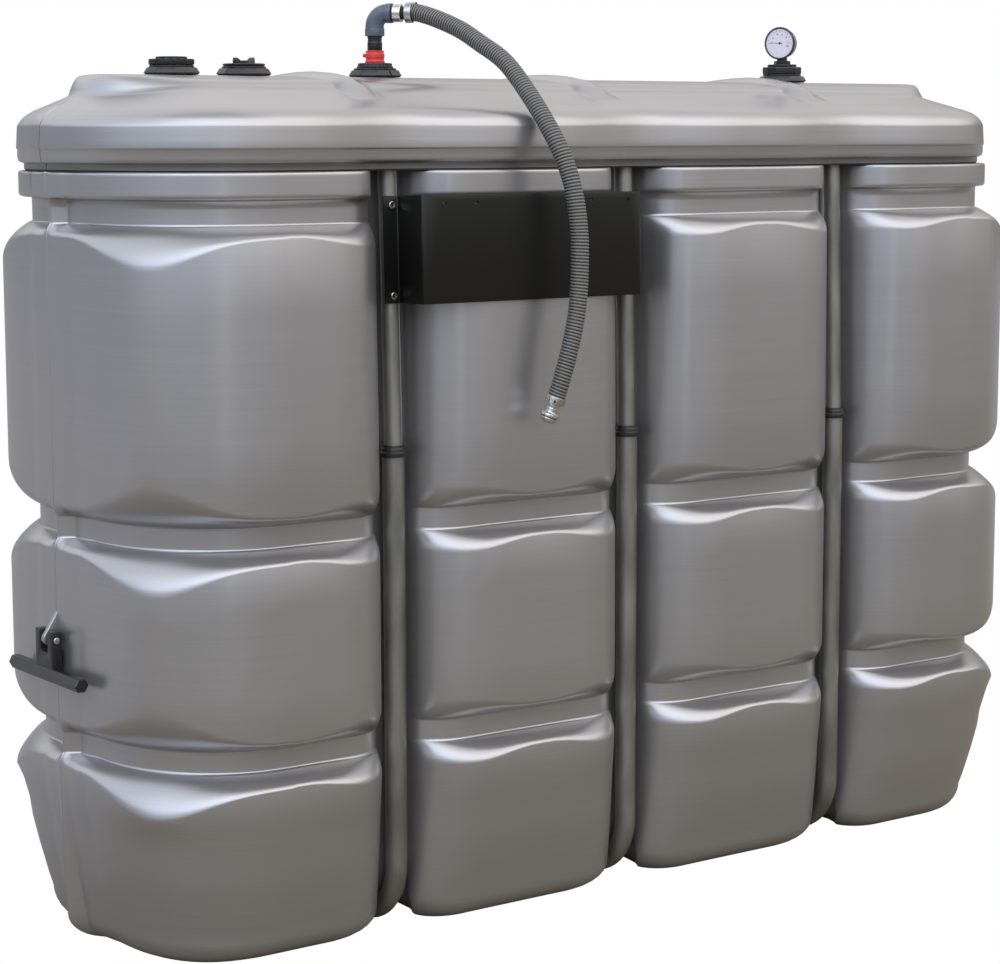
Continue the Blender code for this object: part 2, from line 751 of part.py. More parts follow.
def make_fittings():
    """Collars and caps on the lid's crown; returns the height of the collars' tops."""
    seat = CROWN_Z + 2 * TOUCH
    for name, x in (("fill", FILL_X), ("plug", PLUG_X), ("suction", SUCTION_X), ("gauge", GAUGE_X)):
        collar = [(0.0, COLLAR_HIGH), (0.0420, COLLAR_HIGH), (0.0430, 0.0168), (0.0430, 0.0140),
                  (0.0490, 0.0135), (COLLAR_R, 0.0030), (COLLAR_R, 0.0022), (0.0510, 0.0020),
                  (0.0510, 0.0), (0.0, 0.0)]
        turned("collar_" + name, collar, BLACK_PLASTIC, 16, (x, 0, seat))
    top = seat + COLLAR_HIGH + TOUCH
    cap = [(0.0, 0.0160), (0.0290, 0.0160), (0.0300, 0.0150), (0.0300, 0.0114), (0.0425, 0.0114),
           (0.0435, 0.0105), (0.0435, 0.0015), (0.0410, 0.0), (0.0, 0.0)]
    turned("screw_cap", cap, BLACK_PLASTIC, 24, (FILL_X, 0, top))
    plug = [(0.0, 0.0050), (0.0400, 0.0050), (0.0415, 0.0038), (0.0415, 0.0024), (0.0395, 0.0), (0.0, 0.0)]
    turned("plug_disc", plug, BLACK_PLASTIC, 24, (PLUG_X, 0, top))
    grip = plate("plug_grip", [(-0.0215, 0.0), (0.0215, 0.0), (0.0205, 0.0115), (0.0120, 0.0110),
                               (0.0070, 0.0060), (-0.0070, 0.0060), (-0.0120, 0.0110), (-0.0205, 0.0115)],
                 0.012, BLACK_PLASTIC)
    grip.data.transform(Matrix.Rotation(math.radians(GRIP_TURN), 4, 'Z')
                        @ Matrix.Rotation(math.radians(90), 4, 'X'))
    grip.location = (PLUG_X, 0, top + 0.0050 + TOUCH)
    cover_high = 0.0100
    cover = [(0.0, cover_high), (0.0355, cover_high), (0.0370, 0.0085), (0.0370, 0.0), (0.0, 0.0)]
    turned("suction_cap", cover, BLACK_PLASTIC, 24, (SUCTION_X, 0, top))
    fitting_z = top + cover_high + TOUCH
    fitting_high = 0.0245
    red = [(0.0, fitting_high), (0.0185, fitting_high), (0.0197, 0.0225), (0.0197, 0.0), (0.0, 0.0)]
    turned("suction_fitting", red, RED_PLASTIC, 16, (SUCTION_X, 0, fitting_z))
    riser_z = fitting_z + fitting_high + TOUCH
    riser = [(0.0, RISER_TOP - riser_z), (RISER_R, RISER_TOP - riser_z), (RISER_R, 0.0), (0.0, 0.0)]
    turned("riser_pipe", riser, BLACK_PLASTIC, 16, (SUCTION_X, 0, riser_z))
    return top


def outlet_point(distance):
    """A place on the elbow's outlet line, measured from the riser's centre line."""
    return (SUCTION_X + distance * math.cos(OUTLET_ANGLE), -distance * math.sin(OUTLET_ANGLE), OUTLET_Z)


def make_suction_line():
    elbow_r = 0.0197
    bend = 0.026
    path = [(SUCTION_X, 0.0, RISER_TOP + TOUCH)]
    for step in range(7):
        turn = math.radians(15.0 * step)
        x, y, _ = outlet_point(bend * (1 - math.cos(turn)))
        path.append((x, y, OUTLET_Z - bend * (1 - math.sin(turn))))
    path.append(outlet_point(0.040))
    tube("pipe_elbow", path, elbow_r, PIPE_GREY, 2)
    out = (math.cos(OUTLET_ANGLE), -math.sin(OUTLET_ANGLE), 0.0)
    tail = [(0.0, 0.030 - TOUCH), (0.0125, 0.030 - TOUCH), (0.0125, 0.010), (0.0180, 0.010),
            (0.0180, TOUCH), (0.0, TOUCH)]
    turned("hose_tail_top", tail, ZINC, 16, outlet_point(0.040), out)
    band = [(0.0198, 0.010), (0.0198, -0.004), (HOSE_R + TOUCH + 0.0002, -0.004),
            (HOSE_R + TOUCH + 0.0002, 0.010)]
    turned("hose_clamp_top", band, ZINC, 16, HOSE_ROUTE[0], out, closed=True)


def make_hose():
    """The suction hose, and the blanked coupling that hangs on its end."""
    points = [Vector(place) for place in HOSE_ROUTE]
    tube("suction_hose", points, HOSE_R, HOSE_PLASTIC, 2)
    end = points[-1]
    along = (points[-1] - points[-2]).normalized()
    band = [(0.0196, 0.0), (0.0196, -0.0145), (HOSE_R + TOUCH + 0.0004, -0.0145),
            (HOSE_R + TOUCH + 0.0004, 0.0)]
    turned("hose_clamp_bottom", band, ZINC, 16, end, along, closed=True)
    body = [(0.0, 0.0262), (0.0182, 0.0262), (0.0182, 0.0203), (0.0112, 0.0180), (0.0112, 0.0040),
            (0.0140, 0.0030), (0.0140, TOUCH), (0.0, TOUCH)]
    turned("hose_coupling", body, ZINC, 16, end, along)
    cap = [(0.0, 0.0375), (0.0105, 0.0370), (0.0145, 0.0345), (0.0157, 0.0300), (0.0157, 0.0265),
           (0.0, 0.0265)]
    turned("coupling_cap", cap, ZINC, 16, end, along)


def make_gauge(top):
    """Nut, stem and a round case that looks towards the left front."""
    nut_high = 0.0163
    nut = [(0.0, nut_high), (0.0425, nut_high), (0.0441, nut_high - 0.002), (0.0441, 0.002),
           (0.0425, 0.0), (0.0, 0.0)]
    turned("gauge_nut", nut, BLACK_PLASTIC, 12, (GAUGE_X, 0, top))
    stem_z = top + nut_high + TOUCH
    stem_high = GAUGE_Z - CASE_R - 0.0005 - stem_z
    stem = [(0.0, stem_high), (0.0115, stem_high), (0.0115, 0.0145), (0.0196, 0.0130),
            (0.0196, 0.0056), (0.0325, 0.0052), (0.0325, 0.0), (0.0, 0.0)]
    turned("gauge_stem", stem, BLACK_PLASTIC, 12, (GAUGE_X, 0, stem_z))
    turn = math.radians(GAUGE_TURN)
    facing = Vector((math.sin(turn), math.cos(turn), 0.0))
    centre = Vector((GAUGE_X, 0, GAUGE_Z))
    rim = 0.0363
    case = [(0.0, 0.0150), (0.0325, 0.0150), (0.0325, 0.0180), (0.0345, 0.0185), (rim, 0.0170),
            (rim, 0.0130), (CASE_R, 0.0124), (CASE_R, -0.0120), (0.0, -0.0120)]
    turned("gauge_case", case, GAUGE_STEEL, 24, centre, facing)
    dial = [(0.0, 0.0012), (0.0320, 0.0012), (0.0320, TOUCH), (0.0, TOUCH)]
    turned("gauge_dial", dial, DIAL_WHITE, 24, centre + facing * 0.0150, facing)
    glass = [(0.0, 0.0010), (0.0320, 0.0010), (0.0320, 0.0), (0.0, 0.0)]
    turned("gauge_glass", glass, CLEAR_PLASTIC, 24, centre + facing * 0.0165, facing)


def make_handles():
    """A T handle hanging on a pin in each end's lug."""
    slot_z = PIN_Z - 0.024
    ear_top = 0.0105
    for name, side in (("left", -1), ("right", 1)):
        hinge = bpy.data.objects.new("handle_axis_" + name, None)
        hinge.location = (side * PIN_X, 0.0, PIN_Z)
        TANK.objects.link(hinge)
        outline = [(-STEM_HALF, ear_top - 0.004), (-STEM_HALF + 0.003, ear_top),
                   (-SLOT_HALF, ear_top), (-SLOT_HALF, slot_z - PIN_Z),
                   (SLOT_HALF, slot_z - PIN_Z), (SLOT_HALF, ear_top),
                   (STEM_HALF - 0.003, ear_top), (STEM_HALF, ear_top - 0.004),
                   (STEM_HALF, -0.058), (-STEM_HALF, -0.058)]
        handle = plate("handle_" + name, outline, STEM_THICK, BLACK_PLASTIC)
        handle.data.transform(Matrix.Rotation(math.radians(90), 4, 'Z')
                              @ Matrix.Rotation(math.radians(90), 4, 'X'))
        handle.parent = hinge
        work = bmesh.new()
        bmesh.ops.create_cone(work, cap_ends=True, segments=6, radius1=GRIP_R, radius2=GRIP_R,
                              depth=GRIP_LENGTH)
        bmesh.ops.rotate(work, verts=work.verts, matrix=Matrix.Rotation(math.radians(90), 3, 'X'))
        mesh = bpy.data.meshes.new("grip_form_" + name)
        work.to_mesh(mesh)
        work.free()
        grip = bpy.data.objects.new("grip_form_" + name, mesh)
        CUTTERS.objects.link(grip)
        grip.parent = hinge
        grip.location = (side * 0.003, 0.0, GRIP_Z - PIN_Z)
        grip.hide_render = True
        grip.display_type = 'WIRE'
        boolean(handle, grip, 'UNION')
        bore = cutter_bar("pin_bore_" + name, PIN_R + TOUCH, 0.1, (side * PIN_X, 0, PIN_Z), (0, 1, 0))
        boolean(handle, bore, 'DIFFERENCE')
        pin = [(0.0, 0.037), (0.0065, 0.037), (0.0065, STEM_HALF + TOUCH), (PIN_R, STEM_HALF + TOUCH),
               (PIN_R, -STEM_HALF - TOUCH), (0.0065, -STEM_HALF - TOUCH), (0.0065, -0.037), (0.0, -0.037)]
        turned("handle_pin_" + name, pin, ZINC, 12, (side * PIN_X, 0, PIN_Z), (0, -1, 0))


def make_leak_indicator():
    """A small clear indicator cap that stands on the lid behind its right end."""
    profile = [(0.0, 0.042), (0.010, 0.041), (0.016, 0.036), (0.018, 0.026), (0.018, 0.0), (0.0, 0.0)]
    turned("leak_indicator", profile, CLEAR_PLASTIC, 16, (LEAK_X, 0.0, LEAK_Z + TOUCH))


def build():
    stations = wall_stations()
    make_outer_tank(stations)
    make_lid(stations)
    make_hoops()
    make_bracket()
    top = make_fittings()
    make_suction_line()
    make_hose()
    make_gauge(top)
    make_handles()
    make_leak_indicator()


build()
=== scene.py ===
# Looks of the rectangular double-wall storage tank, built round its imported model.
# Metres, +Z up, X along the tank, -Y at the front.
import json
import math

import bmesh
import bpy
import numpy as np
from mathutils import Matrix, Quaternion, Vector

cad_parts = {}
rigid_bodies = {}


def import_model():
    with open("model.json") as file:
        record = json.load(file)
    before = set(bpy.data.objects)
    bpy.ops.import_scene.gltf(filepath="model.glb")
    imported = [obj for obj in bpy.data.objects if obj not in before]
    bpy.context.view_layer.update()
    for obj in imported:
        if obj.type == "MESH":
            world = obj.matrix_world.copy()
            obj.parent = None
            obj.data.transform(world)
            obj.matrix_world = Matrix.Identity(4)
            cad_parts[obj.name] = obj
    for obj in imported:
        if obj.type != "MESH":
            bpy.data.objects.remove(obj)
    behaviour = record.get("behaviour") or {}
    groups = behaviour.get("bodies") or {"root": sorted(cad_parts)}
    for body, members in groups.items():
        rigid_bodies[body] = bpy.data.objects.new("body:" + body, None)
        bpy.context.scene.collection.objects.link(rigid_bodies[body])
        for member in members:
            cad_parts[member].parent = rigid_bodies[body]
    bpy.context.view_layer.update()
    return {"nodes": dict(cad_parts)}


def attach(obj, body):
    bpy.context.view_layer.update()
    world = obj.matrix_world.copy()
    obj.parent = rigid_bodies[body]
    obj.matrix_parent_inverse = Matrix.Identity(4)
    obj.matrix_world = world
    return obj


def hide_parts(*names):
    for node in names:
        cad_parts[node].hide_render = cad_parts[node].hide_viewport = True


for old in list(bpy.data.objects):
    bpy.data.objects.remove(old, do_unlink=True)

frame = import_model()
print("frame loaded:", len(frame["nodes"]), "nodes")


# Materials

def newMaterial(name, colour, roughness, metallic=0.0):
    mat = bpy.data.materials.new(name)
    mat.use_nodes = True
    shader = mat.node_tree.nodes["Principled BSDF"]
    shader.inputs["Base Color"].default_value = (*colour, 1.0)
    shader.inputs["Roughness"].default_value = roughness
    shader.inputs["Metallic"].default_value = metallic
    return mat, mat.node_tree, shader


def addNoise(tree, scale, detail=4.0, stretch=(1.0, 1.0, 1.0)):
    # Noise in metres of the object, squeezed or drawn out along each axis by stretch
    place = tree.nodes.new("ShaderNodeTexCoord")
    mapping = tree.nodes.new("ShaderNodeMapping")
    mapping.inputs["Scale"].default_value = stretch
    noise = tree.nodes.new("ShaderNodeTexNoise")
    noise.inputs["Scale"].default_value = scale
    noise.inputs["Detail"].default_value = detail
    tree.links.new(place.outputs["Object"], mapping.inputs["Vector"])
    tree.links.new(mapping.outputs["Vector"], noise.inputs["Vector"])
    return noise.outputs["Fac"]


def addRamp(tree, value, stops):
    ramp = tree.nodes.new("ShaderNodeValToRGB")
    bar = ramp.color_ramp
    while len(bar.elements) < len(stops):
        bar.elements.new(0.5)
    for element, (place, colour) in zip(bar.elements, stops):
        element.position = place
        element.color = (*colour, 1.0)
    tree.links.new(value, ramp.inputs["Fac"])
    return ramp.outputs["Color"]


def addRange(tree, value, low, high):
    # Linear map of 0..1 onto low..high
    node = tree.nodes.new("ShaderNodeMapRange")
    node.inputs["To Min"].default_value = low
    node.inputs["To Max"].default_value = high
    tree.links.new(value, node.inputs["Value"])
    return node.outputs["Result"]


def addBump(tree, shader, value, depth, strength=1.0):
    bump = tree.nodes.new("ShaderNodeBump")
    bump.inputs["Distance"].default_value = depth
    bump.inputs["Strength"].default_value = strength
    tree.links.new(value, bump.inputs["Height"])
    tree.links.new(bump.outputs["Normal"], shader.inputs["Normal"])


def tinted(colour, factor):
    return tuple(channel * factor for channel in colour)


def silverPlastic(name, colour):
    # Silver-grey polyethylene: a satin skin with fine level streaks from the mould
    mat, tree, shader = newMaterial(name, colour, 0.30, 0.80)
    streak = addNoise(tree, 2.5, 6.0, (1.0, 1.0, 170.0))
    stops = [(0.30, tinted(colour, 0.965)), (0.70, tinted(colour, 1.035))]
    tree.links.new(addRamp(tree, streak, stops), shader.inputs["Base Color"])
    tree.links.new(addRange(tree, streak, 0.27, 0.34), shader.inputs["Roughness"])
    addBump(tree, shader, streak, 0.00012, 0.3)
    return mat


def galvanisedSteel():
    # Zinc coat: dull silver with soft grey-green blooms
    mat, tree, shader = newMaterial("galvanisedSteel", (0.25, 0.25, 0.23), 0.42, 0.8)
    bloom = addNoise(tree, 22.0, 5.0, (1.0, 1.0, 0.25))
    colour = addRamp(tree, bloom, [(0.35, (0.20, 0.20, 0.18)), (0.65, (0.31, 0.31, 0.285))])
    tree.links.new(colour, shader.inputs["Base Color"])
    tree.links.new(addRange(tree, bloom, 0.36, 0.50), shader.inputs["Roughness"])
    return mat


def plainFinish(name, colour, roughness, metallic=0.0, grainScale=400.0, bump=0.0, spread=0.12, specular=0.5):
    # One colour with a slight mottle in tone and gloss
    mat, tree, shader = newMaterial(name, colour, roughness, metallic)
    shader.inputs["Specular IOR Level"].default_value = specular
    grain = addNoise(tree, grainScale, 3.0)
    stops = [(0.3, tinted(colour, 1.0 - spread)), (0.7, tinted(colour, 1.0 + spread))]
    tree.links.new(addRamp(tree, grain, stops), shader.inputs["Base Color"])
    tree.links.new(addRange(tree, grain, roughness - 0.05, roughness + 0.05), shader.inputs["Roughness"])
    if bump:
        addBump(tree, shader, grain, bump, 0.4)
    return mat


def ribbedHose():
    # Colour by the rib height that the mesh carries: pale on the spiral crests, near black in the grooves between them
    mat, tree, shader = newMaterial("ribbedHose", (0.1, 0.1, 0.1), 0.42)
    height = tree.nodes.new("ShaderNodeAttribute")
    height.attribute_name = "ribHeight"
    stops = [(0.30, (0.016, 0.016, 0.015)), (0.85, (0.17, 0.17, 0.16))]
    tree.links.new(addRamp(tree, height.outputs["Fac"], stops), shader.inputs["Base Color"])
    grain = addNoise(tree, 300.0, 2.0)
    tree.links.new(addRange(tree, grain, 0.36, 0.48), shader.inputs["Roughness"])
    return mat


def clearFinish(name, colour, roughness, alpha, transmission=0.0):
    mat = plainFinish(name, colour, roughness, spread=0.03)
    shader = mat.node_tree.nodes["Principled BSDF"]
    shader.inputs["Alpha"].default_value = alpha
    shader.inputs["Transmission Weight"].default_value = transmission
    return mat


silver = (0.405, 0.398, 0.405)
paint = {
    "silver": silverPlastic("silverPlastic", silver),
    # Quarter-bright silver on the parting line: painted shade of its groove
    "seamLineShade": silverPlastic("partingLineShade", tinted(silver, 0.25)),
    # Half-bright silver on the strip under the lid's lip: painted shade of the gap between lid and rim
    "stripShade": silverPlastic("lidStripShade", tinted(silver, 0.5)),
    # Near-black band along the lid's foot: painted shade of the gap between lid and rim
    "gapShade": plainFinish("lidGapShade", (0.012, 0.011, 0.010), 0.6),
    "galvanised": galvanisedSteel(),
    "black": plainFinish("blackPlastic", (0.014, 0.014, 0.015), 0.30, grainScale=900.0, bump=0.0001),
    "gloss": plainFinish("glossyBlack", (0.010, 0.010, 0.011), 0.16, grainScale=500.0),
    "worn": plainFinish("wornBlack", (0.07, 0.07, 0.068), 0.45, grainScale=700.0),
    "gasket": plainFinish("gasketRubber", (0.006, 0.006, 0.006), 0.7),
    "sheet": plainFinish("blackSheet", (0.007, 0.007, 0.0065), 0.36, grainScale=1500.0, bump=0.00006,
                         specular=0.3),
    "red": plainFinish("redPlastic", (0.62, 0.040, 0.030), 0.30),
    "pipe": plainFinish("pipeGrey", (0.085, 0.105, 0.140), 0.33),
    "zinc": plainFinish("brightZinc", (0.62, 0.62, 0.60), 0.26, 1.0),
    "steel": plainFinish("steelBand", (0.42, 0.42, 0.40), 0.30, 0.95),
    "hose": ribbedHose(),
    "case": plainFinish("gaugeCase", (0.48, 0.48, 0.49), 0.28, 0.8),
    "bezel": plainFinish("gaugeBezel", (0.045, 0.045, 0.048), 0.3, 0.4),
    "dial": plainFinish("dialWhite", (0.68, 0.65, 0.72), 0.5, spread=0.02),
    "ink": plainFinish("dialInk", (0.01, 0.01, 0.012), 0.5),
    "redInk": plainFinish("dialRed", (0.55, 0.03, 0.02), 0.5),
    "glass": clearFinish("gaugeGlass", (0.9, 0.9, 0.9), 0.06, 0.10),
    "clear": clearFinish("clearPlastic", (0.72, 0.76, 0.68), 0.18, 0.72, 0.35),
}
print("materials made:", len(paint))


# Surfaces worked out with numpy

def gridQuads(rows, columns, wrapColumns=False, first=0):
    # Quads between neighbours on a rows x columns grid of point numbers
    r = np.arange(rows - 1)
    c = np.arange(columns if wrapColumns else columns - 1)
    r, c = np.meshgrid(r, c, indexing="ij")
    along = (c + 1) % columns
    quads = [r * columns + c, r * columns + along, (r + 1) * columns + along, (r + 1) * columns + c]
    return np.stack(quads, -1).reshape(-1, 4) + first


def ease(value):
    # Smooth step from 0 to 1
    value = np.clip(value, 0.0, 1.0)
    return value * value * (3.0 - 2.0 * value)


def roundIn(value):
    # Quarter of an ellipse, steep at 0 and level from 1 on
    return np.sqrt(1.0 - (1.0 - np.clip(value, 0.0, 1.0)) ** 2)


def finishMesh(name, mesh, materials, body, sharpAngle):
    work = bmesh.new()
    work.from_mesh(mesh)
    bmesh.ops.recalc_face_normals(work, faces=work.faces)
    work.to_mesh(mesh)
    work.free()
    for material in materials:
        mesh.materials.append(material)
    mesh.shade_smooth()
    mesh.set_sharp_from_angle(angle=math.radians(sharpAngle))
    obj = bpy.data.objects.new(name, mesh)
    bpy.context.scene.collection.objects.link(obj)
    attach(obj, body)
    return obj


def makePiece(name, forms, replaced, body="tank", sharpAngle=32.0):
    # Several closed forms, each (points, faces, paint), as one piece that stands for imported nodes
    points, faces, numbers = [], [], []
    keys = list(dict.fromkeys(form[2] for form in forms))
    for formPoints, formFaces, key in forms:
        start = len(points)
        points += np.asarray(formPoints).reshape(-1, 3).tolist()
        faces += [tuple(int(i) + start for i in face) for face in formFaces]
        numbers += [keys.index(key)] * len(formFaces)
    mesh = bpy.data.meshes.new(name)
    mesh.from_pydata(points, [], faces)
    mesh.polygons.foreach_set("material_index", numbers)
    obj = finishMesh(name, mesh, [paint[key] for key in keys], body, sharpAngle)
    if replaced:
        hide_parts(*replaced)
    return obj


def rounded(corners, radius, steps=3, closed=False):
    # Each corner becomes a curve that starts and ends at radius from it
    pts = np.asarray(corners, float)
    count = len(pts)
    out = []
    for i in range(count):
        if not closed and i in (0, count - 1):
            out.append(pts[i])
            continue
        here = pts[i]
        a, b = pts[i - 1] - here, pts[(i + 1) % count] - here
        reach = min(radius, 0.45 * np.linalg.norm(a), 0.45 * np.linalg.norm(b))
        start = here + a / np.linalg.norm(a) * reach
        end = here + b / np.linalg.norm(b) * reach
        for t in np.linspace(0.0, 1.0, steps + 1):
            out.append((1 - t) ** 2 * start + 2 * t * (1 - t) * here + t * t * end)
    return np.array(out)


def turnTo(along):
    # Matrix that takes +Z to a direction
    return np.array(Vector((0, 0, 1)).rotation_difference(Vector(along).normalized()).to_matrix())


def lathe(profile, key, at=(0, 0, 0), along=(0, 0, 1), steps=48, wave=None, closed=False, soft=0.0006):
    # (radius, height) turned about a line; radius 0 is one point, and wave changes a radius by angle
    if soft:
        profile = rounded(profile, soft, 2, closed)
    angles = np.linspace(0.0, math.tau, steps, endpoint=False)
    points, rings = [], []
    for radius, height in profile:
        if radius < 1e-7:
            rings.append([len(points)])
            points.append((0.0, 0.0, height))
            continue
        r = wave(radius, height, angles) if wave else np.full(steps, radius)
        rings.append(list(range(len(points), len(points) + steps)))
        points += np.stack([r * np.cos(angles), r * np.sin(angles), np.full(steps, height)], -1).tolist()
    pairs = list(zip(rings, rings[1:])) + ([(rings[-1], rings[0])] if closed else [])
    faces = []
    for first, second in pairs:
        for i in range(steps):
            j = (i + 1) % steps
            if len(first) == 1 and len(second) == 1:
                continue
            if len(first) == 1:
                faces.append((first[0], second[j], second[i]))
            elif len(second) == 1:
                faces.append((first[i], first[j], second[0]))
            else:
                faces.append((first[i], first[j], second[j], second[i]))
    return np.array(points) @ turnTo(along).T + np.array(at), faces, key


def frameAlong(path):
    # Tangent and two normals at each point, the normals carried along without twist
    tangent = np.gradient(path, axis=0)
    tangent /= np.linalg.norm(tangent, axis=1)[:, None]
    normal = np.zeros_like(path)
    start = np.cross(tangent[0], (1.0, 0.0, 0.0))
    if np.linalg.norm(start) < 0.2:
        start = np.cross(tangent[0], (0.0, 1.0, 0.0))
    normal[0] = start / np.linalg.norm(start)
    for i in range(1, len(path)):
        carried = normal[i - 1] - tangent[i] * np.dot(normal[i - 1], tangent[i])
        normal[i] = carried / np.linalg.norm(carried)
    return tangent, normal, np.cross(tangent, normal)


def tubeGrid(path, radius, sides):
    # Rings of points round a path, and faces that close it at both ends
    _, normal, across = frameAlong(path)
    around = np.linspace(0.0, math.tau, sides, endpoint=False)
    ring = normal[:, None] * np.cos(around)[None, :, None] + across[:, None] * np.sin(around)[None, :, None]
    points = path[:, None] + ring * np.broadcast_to(radius, (len(path), sides))[..., None]
    faces = gridQuads(len(path), sides, wrapColumns=True).tolist()
    faces.append(list(range(sides))[::-1])
    faces.append(list(range(len(path) * sides - sides, len(path) * sides)))
    return points.reshape(-1, 3), faces


def sweep(path, radius, key, sides=32):
    points, faces = tubeGrid(np.asarray(path, float), radius, sides)
    return points, faces, key


def inset(outline, distance):
    # The outline moved inwards along the mean of its two sides' normals
    pts = np.asarray(outline, float)
    before = pts - np.roll(pts, 1, axis=0)
    after = np.roll(pts, -1, axis=0) - pts
    area = 0.5 * np.sum(pts[:, 0] * np.roll(pts[:, 1], -1) - np.roll(pts[:, 0], -1) * pts[:, 1])
    sign = 1.0 if area > 0 else -1.0
    normals = []
    for side in (before, after):
        unit = side / np.linalg.norm(side, axis=1)[:, None]
        normals.append(np.stack([-unit[:, 1], unit[:, 0]], -1) * sign)
    mean = normals[0] + normals[1]
    mean /= np.linalg.norm(mean, axis=1)[:, None]
    lengthen = np.clip(np.sum(mean * normals[0], axis=1), 0.5, 1.0)
    return pts + mean * (distance / lengthen)[:, None]


def slab(outline, thickness, bevel, key, origin=(0, 0, 0), u=(1, 0, 0), v=(0, 1, 0)):
    # A flat outline in the plane of u and v, thickened evenly, its rims bevelled
    outline = np.asarray(outline, float)
    u, v = np.array(u, float), np.array(v, float)
    w = np.cross(u, v)
    small = inset(outline, bevel)
    mid = inset(outline, bevel * 0.3)
    half = thickness / 2
    levels = [(small, -half), (mid, -half + bevel * 0.3), (outline, -half + bevel),
              (outline, half - bevel), (mid, half - bevel * 0.3), (small, half)]
    rows = [ring[:, :1] * u + ring[:, 1:] * v + height * w for ring, height in levels]
    count = len(outline)
    faces = gridQuads(len(rows), count, wrapColumns=True).tolist()
    faces.append(list(range(count))[::-1])
    faces.append(list(range((len(rows) - 1) * count, len(rows) * count)))
    return np.concatenate(rows) + np.array(origin), faces, key


def block(size, key, origin, u=(1, 0, 0), v=(0, 1, 0), bevel=0.0005):
    a, b = size[0] / 2, size[1] / 2
    return slab([(-a, -b), (a, -b), (a, b), (-a, b)], size[2], bevel, key, origin, u, v)


# Plan of the tank: one quarter, column by column, then mirrored all round

tankPlan = {
    "bayPitch": 0.570,
    "cornerX": 0.857,
    "cornerY": 0.080,
    "cornerRadiusX": 0.234,
    "cornerRadiusY": 0.279,
    "endBow": 0.012,
    "seamX": 1.135,
    "seamCrest": 1.127,
    "seamFoot": 1.105,
    "seamHalf": 0.020,
    "lineHalf": 0.0012,
    "lineDepth": 0.0018,
    "edgeHalf": 0.040,
    "edgeY": 0.283,
    "grooveHalf": 0.030,
    "grooveY": 0.280,
    "neckY": 0.357,
    "bulgeY": 0.411,
    "rimY": 0.378,
    "endExtra": 0.010,
}


def allRound(quarterX, quarterY):
    # A quarter outline from the left end's middle to the front's middle, mirrored all round
    frontX = np.concatenate([quarterX, -quarterX[-2::-1]])
    frontY = np.concatenate([quarterY, quarterY[-2::-1]])
    return np.concatenate([frontX, frontX[-2:0:-1]]), np.concatenate([frontY, -frontY[-2:0:-1]])


def allRoundPlain(quarter):
    # The same mirroring for a value that has no side
    front = np.concatenate([quarter, quarter[-2::-1]])
    return np.concatenate([front, front[-2:0:-1]])


def lidDepth(away):
    # The lid's front swings in to a shallow valley at each channel
    return 0.345 + 0.039 * ease(away / 0.22)


